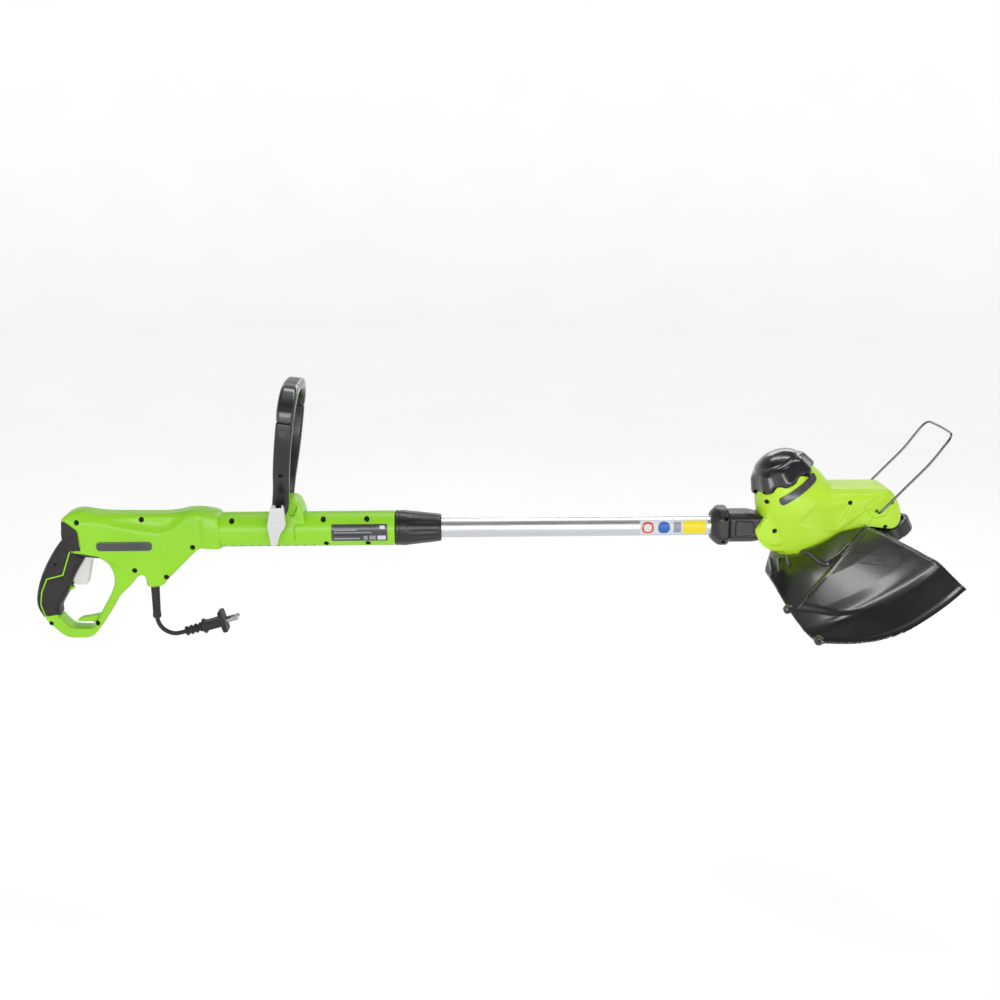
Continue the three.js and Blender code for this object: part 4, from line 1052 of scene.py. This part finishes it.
def make_head():
    g = Grid((-70, -50, -46), (114, 50, 76), 1.1)
    dome = g.turned(DOME, "z", (MOTOR_U, 0))
    side = outline(g.x, g.z, NOSE_SIDE)
    recess = smooth(0.8, -0.8, outline(g.x, g.z, RECESS)) * smooth(48, 22, g.z + 0.4 * g.x)
    ledge = smooth(0.8, -0.8, outline(g.x, g.z, LEDGE))
    clip = smooth(0.7, -0.7, outline(g.x, g.z, CLIP))
    sunk = 3.0 * recess + 2.2 * ledge + 1.8 * clip
    nose = extruded(side, np.abs(g.y), -50, 46 - sunk + 0 * g.z, 6.0)
    nose = overlap(nose, outline(g.x, g.y, NOSE_PLAN) + sunk + 0 * g.z, 4.0)
    rise = g.x * TILT_SIN + g.z * TILT_COS
    nose = overlap(nose, outline(g.y + 0 * rise, rise + 0 * g.y, NOSE_SECTION), 3.0)
    cheek = extruded(outline(g.x, g.z, CHEEK_SIDE), g.y, -CHEEK_HALF, CHEEK_HALF, 4.0)
    disc = g.rod(19.5, -CHEEK_HALF - 1.6, CHEEK_HALF + 1.6, "y", (PIVOT_U + 1.5, PIVOT_W), 0.8)
    shell = blend(dome + 0.6 * recess, nose, 10.0)
    shell = blend(shell, cheek, 3.0)
    shell = blend(shell, disc, 0.5)
    shell = less(shell, cap_field(g, GAP + 0.2), 0.5)
    shell = less(shell, outline(g.disc("z", (MOTOR_U, 0)), g.z, MOTOR_BAY))
    shell = less(shell, g.box((40, 90), (-30, 30), (-18, 10), 2.0))
    for k in range(5):
        shell = less(shell, g.box((64 + 5 * k, 66.4 + 5 * k), (-24, 24), (-60, -16), 0.5))
    piece = even(g.mesh("head", shell), 2)
    # The neck's ears swing in the space that they sweep, and the bolt runs across it.
    at_pivot = shift(PIVOT_U, 0, PIVOT_W)
    sweep = [moved(block((-60, 0), (-PIVOT_HALF, PIVOT_HALF), (-21.5, 15.5)),
                   at_pivot @ spin(HEAD_TILT - swing, "Y")) for swing in (0, 12.5, 25)]
    pivot = [moved(rod(r, start, end, "y", sides), at_pivot) for r, start, end, sides in (
        (PIVOT_R + 1.5, -PIVOT_HALF, PIVOT_HALF, 64), (4.4, -24.6, 40, 48), (3.2, -60, -24, 48),
        (7.2, CHEEK_HALF, 60, 48))]
    outlet = moved(rod(12, -40, -20, "z", 64), shift(MOTOR_U))
    axle = moved(rod(4.6, -60, -28, "z", 32), shift(WHEEL_U))
    wire_holes = moved(rod(2.1, -60, 60, "y", 32), shift(WIRE_U, 0, WIRE_W))
    cut(piece, *sweep, *pivot, outlet, axle, *pockets(HEAD_SCREWS, 2.9, -70), wire_holes)
    halves(piece, ("head_shell_left", "head_shell_right"), LIME, "head", HEAD)
    screws("head_fixing", HEAD_SCREWS, "head", HEAD, 2.6)

    # The pivot's bolt shows as a recessed screw on the left and as a hexagon on the right.
    bolt = turned([(0, -24), (2.4, -24), (2.9, -23.6), (2.9, -22), (4.0, -21.6), (4.0, 27.4), (0, 27.4)],
                  "y", 48)
    nut = turned([(0, 27.3), (6.2, 27.3), (6.9, 28), (6.9, 29.5), (6.2, 30.2), (0, 30.2)], "y", 6)
    cut(combine(bolt, [nut], "UNION"), *cross(1.8, 0.4, -30, -22.8, "y"))
    finish(bolt, "pivot_fixing", DARK_STEEL, "head", HEAD @ at_pivot, ["pivot_bolt"])


def make_cap():
    g = Grid((-54, -50, 62), (46, 50, 110), 0.9)
    cap = less(cap_field(g), g.turned(CAP_INNER, "z", (MOTOR_U, 0)))
    whole = even(g.mesh("cap", cap), 2)
    finish(whole, "motor_cap_moulding", GLOSS_BLACK, "head", HEAD, ["motor_cap"])


def make_head_badge():
    band = turned([(42.0, 50), (46.6, 50), (46.1, 54), (42.2, 63), (40.4, 67), (37.0, 67)], "z", 160)
    shape = prism([(-21, 50.2, 4), (33.5, 57.8, 4), (33.5, 66.4, 4), (-21, 59.2, 4)], -60, -16)
    finish(common(band, shape), "head_badge_band", PILL, "head", MOTOR, ["head_badge"])


make_neck()
make_head()
make_cap()
make_head_badge()


# ---- guard ---------------------------------------------------------------------------------------
GUARD_PLAN = [
    (57, -45, 2), (110, -175, 2), (140, -240, 2), (-40, -240, 2), (-54, -196, 2), (-75, -165, 14),
    (-78, -110, 20), (-76, -60, 10), (-76, -20, 6), (-54, 16, 8), (-44, 40, 10), (-30, 48, 10),
    (30, 46, 10), (42, 20, 4), (42, -43, 4),
]
RIM_W = -91.5
# The cone and the skirt, as (distance from the motor's axis, height).
SKIN = ((50, -14.5), (54, -14.5), (170, -56.7), (176, -59.6), (181, -63.4), (186, -68.6), (205, -91.5),
        (216, -104.8))
GUARD_THICK = 3.0
# A broad facet is raised above the cone, and steps down along its left edge.
FACET = [(60, -44), (41, -61.5), (18.6, -79.3), (-14.2, -100), (-35, -110), (-54, -117), (-66, -122),
         (-48, -144), (-32, -165), (-2, -180), (21.5, -181), (61, -172), (99, -156), (120, -150), (70, -50)]
STEP_LINE = [(56, -48), (41, -61.5), (18.6, -79.3), (-14.2, -100), (-35, -110), (-50, -116)]
FLANGE = [(-30, -40), (-21, -54), (-17, -78, 2), (-11, -87, 2), (6.5, -84, 3), (27, -72, 5), (60, -43),
          (40, -40), (0, -50)]
LIP_LINE = [(57, -45), (110, -175)]
BACK_RIBS = [(-62, -8, -68, -34), (-54, -24, -60, -45), (-43, -31, -47, -50)]
GUARD_BADGE = [(26, -96, 2), (64, -124, 2), (56, -137, 2), (20, -111, 2)]
GUARD_SCREWS = [(-32, 24), (-32, -24)]
LUGS = [(-78, -108, -45), (-67, -174, -68)]
WEB_BEARINGS = (-120, -95, -70)
EDGE_NOTCHES = [(104.5, -158), (106.5, -163)]


def skin_height(radial):
    """Height of the guard's cone and skirt over a distance from the motor's axis."""
    radii, heights = zip(*SKIN)
    return np.interp(radial, radii, heights).astype(np.float32)


def guard_top(g):
    """The guard's outer surface, with the facet, ridge, flange, lip and ribs that stand on it."""
    radial = g.disc("z", (MOTOR_U, 0))
    facet = outline(g.x, g.y, FACET)
    high = np.interp(radial, (60, 110, 150, 180), (2.0, 5.0, 3.4, 0.6))
    top = skin_height(radial) + high * smooth(2.5, -3.5, facet)
    step = polyline(g.x, g.y, STEP_LINE)
    top = top + 1.8 * np.exp(-(step / 3.0) ** 2) * smooth(150, 120, radial)
    # The crease between the cone and the skirt swells into a soft roll.
    top = top + 1.6 * np.exp(-((radial - 176) / 7.5) ** 2) * smooth(-70, -30, g.x)
    flange = outline(g.x, g.y, FLANGE)
    top = top + 4.0 * smooth(0.9, -0.9, flange)
    lip = polyline(g.x, g.y, LIP_LINE)
    top = top + 1.2 * smooth(4.2, 3.4, lip)
    for u0, y0, u1, y1 in BACK_RIBS:
        top = top + 1.8 * smooth(2.0, 1.2, polyline(g.x, g.y, [(u0, y0), (u1, y1)]))
    return top, radial


def make_guard():
    g = Grid((-86, -212, -98), (116, 50, -6), 1.2)
    top, radial = guard_top(g)
    steep = smooth(174, 184, radial)
    scale = 0.94 - 0.30 * steep
    thick = GUARD_THICK / scale
    bottom = skin_height(radial) - thick
    # The skirt is cut level on the right, and its rim lifts towards the left edge.
    past = np.clip(MOTOR_U + 40 - g.x, 0, 80)
    rim = RIM_W + 0.33 * (past ** 2 / 160 + np.maximum(MOTOR_U - 40 - g.x, 0)) - g.z
    # The rim is thickened into a bead.
    bead = smooth(-6.5, -4.0, rim + 0 * g.y) * 1.3 * steep
    skin = np.maximum(g.z - top - bead, bottom - g.z) * scale
    plan = outline(g.x, g.y, GUARD_PLAN)
    shell = overlap(overlap(skin, plan + 0 * g.z, 1.2), rim + 0 * g.y, 1.0)
    collar = g.turned([(26, -37), (26, -34), (50, -34), (50, -16), (51.5, -14.5, 1), (55, -15.5),
                       (54.5, -18.6), (53, -37)], "z", (MOTOR_U, 0))
    shell = blend(shell, overlap(collar, plan + 0 * g.z), 1.0)
    shell = blend(shell, g.box((-74, -71), (-44, -14), (-40, -23), 0.8), 1.0)
    # Two lugs stand out of the left edge, and webs stiffen the skirt from inside.
    for u, y, w in LUGS:
        lug = extruded(g.disc("y", (u, w)) - 5.0, g.y, y - 4, y + 4, 1.5)
        shell = blend(shell, less(lug, g.rod(1.8, y - 10, y + 10, "y", (u, w))), 2.0)
    for bearing in map(math.radians, WEB_BEARINGS):
        across = (g.x - MOTOR_U) * math.sin(bearing) - g.y * math.cos(bearing)
        web = np.maximum(np.maximum(np.abs(across) - 1.0, 186 - radial), g.z - bottom - 0.5)
        web = np.maximum(np.maximum(web, -82 - g.z), overlap(plan, radial - 199))
        shell = blend(shell, np.maximum(web, (g.x - MOTOR_U) * -math.cos(bearing)))
    shell = less(shell, g.box((9, 130), (-45, 45), (-33, 60)))
    for u, y in EDGE_NOTCHES:
        shell = less(shell, g.rod(1.7, -110, 0, "z", (u, y)))
    for u, y in GUARD_SCREWS:
        shell = less(shell, g.rod(2.3, -50, -30, "z", (MOTOR_U + u, y)))
    finish(even(g.mesh("guard", shell), 3), "guard_moulding", GUARD_BLACK, "head", HEAD,
           ["guard"])

    # A plain plate takes the place of the printed one.
    g = Grid((15, -142, -70), (70, -90, -20), 0.6)
    top, _ = guard_top(g)
    plate = overlap(outline(g.x, g.y, GUARD_BADGE) + 0 * g.z,
                    np.maximum(g.z - top - 0.5, top - 0.8 - g.z) * 0.94, 0.3)
    finish(even(g.mesh("plate", plate), 1), "guard_plain_plate", STICKER["dark"], "head",
           HEAD)

    for i, (u, y) in enumerate(GUARD_SCREWS):
        made = turned([(0, -39.6), (2.6, -39.6), (3.5, -38.9), (3.5, -37.3), (2, -37.3), (2, -31), (0, -31)],
                      "z", 32)
        cut(made, *cross(2.1, 0.4, -42, -38.7, "z"))
        finish(made, f"guard_fixing_{i + 1}", DARK_STEEL, "head", MOTOR @ shift(u, y),
               [f"guard_screw_{i + 1}"])
    # The cutter is a flat blade, set slanting on the skirt's inside.
    section = ((167.2, -80), (168.6, -80), (173.4, -63.4), (172.0, -63.4))
    blade = from_grid([(x, y, z) for y in (-9, -6, 6, 9) for x, z in section], 4, 4, False, True, True)
    finish(moved(blade, spin(-59, "Z")), "line_cutter_blade", STEEL, "head", MOTOR, ["line_cutter"])


# ---- wheel, wire guide and spool -----------------------------------------------------------------
WHEEL_LOW, WHEEL_HIGH, WHEEL_R = -62.0, -45.0, 27.0
WHEEL_NOTCHES, WHEEL_SPOKES = 12, 6
WIRE_ROUTE = [
    (77, 41.5, -11), (77, 46, -11), (80, 47.5, -9.8), (118, 47.5, 4.2), (152, 47.5, 16.5),
    (162, 47.5, 21), (177, 47.5, 28.6), (189, 46, 34.6), (194, 40, 37), (195.5, 22, 37.6),
]
WIRE_R = 1.45
OUTLET_W = -75                 # height of the spool's line outlets
LINE_R, LINE_LENGTH = 1.05, 129


def make_wheel():
    g = Grid((-29, -29, WHEEL_LOW - 2), (29, 29, WHEEL_HIGH + 2), 0.7)
    radial = g.disc("z")
    angle = np.arctan2(g.y, g.x)
    fold = ((angle * WHEEL_NOTCHES / (2 * math.pi)) % 1.0 - 0.5) * 2 * math.pi / WHEEL_NOTCHES * WHEEL_R
    groove = 1.4 * smooth(1.7, 0.9, np.abs(fold))
    tyre = extruded(radial - WHEEL_R + groove, g.z, WHEEL_LOW, WHEEL_HIGH, 2.0)
    middle = (WHEEL_LOW + WHEEL_HIGH) / 2
    dish = extruded(np.abs(radial - 15.5) - 6.0, np.abs(g.z - middle), 3.2, 20, 1.5)
    fold = np.abs(((angle * WHEEL_SPOKES / (2 * math.pi)) % 1.0 - 0.5))
    spoke = fold * 2 * math.pi / WHEEL_SPOKES * radial - 1.1
    dish = less(dish, np.maximum(spoke, np.abs(g.z - middle) - 6.5), 0.8)
    wheel = less(less(tyre, dish, 0.8), g.rod(4.6, -80, -30, "z"))
    place = HEAD @ shift(WHEEL_U)
    finish(even(g.mesh("wheel", wheel), 2), "edge_wheel_tyre", BLACK, "wheel", place,
           ["edge_wheel"])
    axle = turned([(0, -65), (5.8, -65), (6.8, -64.2), (6.8, -62.4), (4.2, -62.2), (4.2, -30), (0, -30)],
                  "z", 48)
    cut(axle, *cross(3.2, 0.6, -70, -63.6, "z"))
    finish(axle, "edge_wheel_axle", STEEL, "head", place, ["wheel_axle"])


def make_wire():
    points = [(u, -y, w) for u, y, w in WIRE_ROUTE] + [(u, y, w) for u, y, w in reversed(WIRE_ROUTE)]
    wire = swept(centripetal(points, 8), circle(WIRE_R, 16), Vector((0.3, 0, 1)).normalized())
    finish(wire, "wire_guide_bent", WIRE_STEEL, "wire", HEAD, ["wire_guide"], sharp=60)


def make_spool():
    shell = turned([(4.3, -40.5), (29, -40.5), (31, -41), (37.5, -43), (39, -44.4), (41.6, -51.5),
                    (42, -53.5), (42, -60), (41.5, -60.6), (41.5, -62), (42, -62.6), (42, -87.4),
                    (41.4, -88), (39.4, -88), (39, -87.6), (39, -53), (36, -46), (28, -43.5),
                    (4.3, -43.5)], "z", 128)
    eyelets = moved(rod(2.6, -60, 60, "y", 32), shift(0, 0, OUTLET_W))
    slots = [moved(block((25, 33), (-3, 3), (-46, -38), 1.0),
                   Matrix.Rotation(2 * math.pi * (k + 0.5) / 6, 4, "Z")) for k in range(6)]
    cut(shell, eyelets, *slots)
    finish(shell, "spool_housing_moulding", BLACK, "rotor", MOTOR, ["spool_housing"])
    # A brass eye lines each outlet, and the line leaves through it with a slight droop at its tip.
    for i, side in enumerate((-1, 1)):
        eye = turned([(1.5, 38.2), (2.5, 38.2), (2.5, 42.2), (3.4, 42.5), (3.4, 43.2), (2.6, 43.6),
                      (1.6, 43.6)], "y", 32)
        moved(eye, shift(0, 0, OUTLET_W) @ Matrix.Rotation(math.pi * (side < 0), 4, "Z"))
        finish(eye, f"line_eye_{i + 1}", COPPER, "rotor", MOTOR)
        path = [Vector((0.4 * math.sin(k / 3), side * (36 + LINE_LENGTH * k / 16),
                        OUTLET_W - 0.6 * (k / 16) ** 2)) for k in range(17)]
        line = swept(path, circle(LINE_R, 12))
        finish(line, f"line_end_{i + 1}_nylon", LINE, "rotor", MOTOR, [f"line_end_{i + 1}"])

    reel = turned([(4.3, -47), (33, -47), (33.4, -47.4), (33.4, -48.6), (20.6, -50.5), (20, -51), (20, -69),
                   (34.6, -70), (35, -70.4), (35, -71.6), (34.6, -72), (4.3, -72)], "z", 96)
    finish(reel, "spool_reel", BLACK, "rotor", MOTOR, ["spool"])

    g = Grid((-41, -41, -99), (41, 41, -82), 0.9)
    radial = g.disc("z")
    angle = np.arctan2(g.y, g.x)
    grips = 1.1 * smooth(-0.3, 0.5, np.cos(12 * angle)) * smooth(-89.5, -91, g.z)
    knob = outline(radial + grips, g.z, [(0, -84), (30, -84), (38.6, -84.5, 1), (38.6, -87.5, 1.5),
                                         (25, -90, 2), (22, -97, 2.5), (0, -97)])
    ring = np.sqrt((radial - 13) ** 2 + (g.z + 97) ** 2) - 1.0
    knob = less(knob, ring, 0.6)
    finish(even(g.mesh("knob", knob), 2), "bump_knob_moulding", BLACK, "knob", MOTOR,
           ["bump_knob"])


make_guard()
make_wheel()
make_wire()
make_spool()

# ---- working parts inside ------------------------------------------------------------------------
# Each CAD node that no piece stands for keeps its shape, and takes its slot's finish.
LAMINATION = metal("stacked_lamination", 0x8A8C90, 0x6C6E74, stretch=(0.1, 0.1, 1), scale=1500.0)
BEARING = metal("bearing_steel", 0xC4C6CA, 0xAEB0B6, rough=(0.14, 0.22))
INNER_BLACK = plastic("inner_black_moulding", 0x2A2A2E, 0x222226, rough=(0.4, 0.5), grain=1600.0)
FINISHES = {
    "green_housing": GREEN, "lime_housing": LIME, "black_plastic": INNER_BLACK, "rubber": RUBBER,
    "grey_plastic": GREY, "aluminium": ALUMINIUM, "steel": STEEL, "copper": COPPER, "cord_sheath": BOOT,
    "line_nylon": LINE,
}
SPECIAL = {"motor_can": LAMINATION, "lower_bearing": BEARING, "upper_bearing": BEARING}
slot_of = {part["node"]: part["material_slot"] for part in frame["record"]["subparts"]}
for name, node in frame["nodes"].items():
    if not node.hide_render:
        node.data.materials.clear()
        node.data.materials.append(SPECIAL.get(name, FINISHES[slot_of[name]]))


# ---- studio --------------------------------------------------------------------------------------
def make_studio():
    # A round white sweep, open at the top, so that every view has the same pale ground.
    floor_z = CAD_BOX[0][2] - 0.30
    look = Look("pale_floor")
    look.colour(look.ramp(look.noise(3.0, 2.0), (0.34, 0.34, 0.34, 1), (0.36, 0.36, 0.36, 1)))
    look.shader.inputs["Roughness"].default_value = 0.9
    look.shader.inputs["Emission Color"].default_value = (1, 1, 1, 1)
    look.shader.inputs["Emission Strength"].default_value = 0.72
    reach, fillet, top, steps = 7.0, 1.5, 5.0, 12
    profile = [(0.001, 0.0), (reach - fillet, 0.0)]
    profile += [(reach - fillet + fillet * math.sin(t), fillet - fillet * math.cos(t))
                for t in (0.5 * math.pi * i / steps for i in range(1, steps + 1))]
    profile += [(reach, top)]
    sides = 96
    points = [(r * math.cos(2 * math.pi * j / sides), r * math.sin(2 * math.pi * j / sides), z + floor_z)
              for r, z in profile for j in range(sides)]
    floor = from_grid(points, len(profile), sides, False, True)
    floor.name = "floor"
    floor.data.materials.append(look.material)
    floor.data.shade_smooth()
    floor.visible_glossy = floor.visible_diffuse = False

    # The object is lit by this sky and the lamps alone. Gloss sees it pale round the horizon and dim
    # overhead, and matt surfaces are lit mostly from the side.
    world = bpy.data.worlds.new("studio")
    world.use_nodes = True
    nodes, links = world.node_tree.nodes, world.node_tree.links
    split = nodes.new("ShaderNodeSeparateXYZ")
    links.new(nodes.new("ShaderNodeTexCoord").outputs["Generated"], split.inputs["Vector"])
    height = nodes.new("ShaderNodeMapRange")
    height.inputs["From Min"].default_value = -1
    links.new(split.outputs["Z"], height.inputs["Value"])

    def sky(tones):
        ramp = nodes.new("ShaderNodeValToRGB")
        ramp.color_ramp.interpolation = "EASE"
        ramp.color_ramp.elements[0].position = tones[0][0]
        ramp.color_ramp.elements[1].position = tones[-1][0]
        for position, _ in tones[1:-1]:
            ramp.color_ramp.elements.new(position)
        for element, (_, tone) in zip(ramp.color_ramp.elements, tones):
            element.color = (tone, tone, tone, 1)
        links.new(height.outputs["Result"], ramp.inputs["Fac"])
        return ramp.outputs["Color"]

    glossy = sky(((0.0, 0.85), (0.35, 0.92), (0.60, 1.0), (0.76, 0.36), (0.92, 0.18), (0.97, 0.35),
                  (1.0, 0.95)))
    matt = sky(((0.0, 0.75), (0.35, 1.0), (0.55, 1.0), (0.80, 0.42), (1.0, 0.5)))
    choice = nodes.new("ShaderNodeMix")
    choice.data_type = "RGBA"
    links.new(nodes.new("ShaderNodeLightPath").outputs["Is Diffuse Ray"], choice.inputs["Factor"])
    links.new(glossy, choice.inputs["A"])
    links.new(matt, choice.inputs["B"])
    links.new(choice.outputs["Result"], nodes["Background"].inputs["Color"])
    bpy.context.scene.world = world

    def lamp(name, place, size, power, matt=1.0):
        data = bpy.data.lights.new(name, "AREA")
        data.shape = "RECTANGLE"
        data.size, data.size_y = size
        data.energy = power
        data.diffuse_factor = matt
        made = bpy.data.objects.new(name, data)
        made.location = place
        made.rotation_euler = (TARGET - Vector(place)).to_track_quat("-Z", "Y").to_euler()
        bpy.context.scene.collection.objects.link(made)

    lamp("key", (0.2, -2.3, 0.55), (2.0, 0.5), 17)
    lamp("fill", (1.4, -2.1, -0.1), (1.0, 0.8), 5)
    lamp("rim", (1.2, 1.6, 1.2), (1.6, 0.5), 7)
    lamp("top", (0.80, 0.35, 1.7), (2.0, 0.25), 10, 0.25)
    bpy.context.scene.view_settings.view_transform = "Standard"


make_studio()
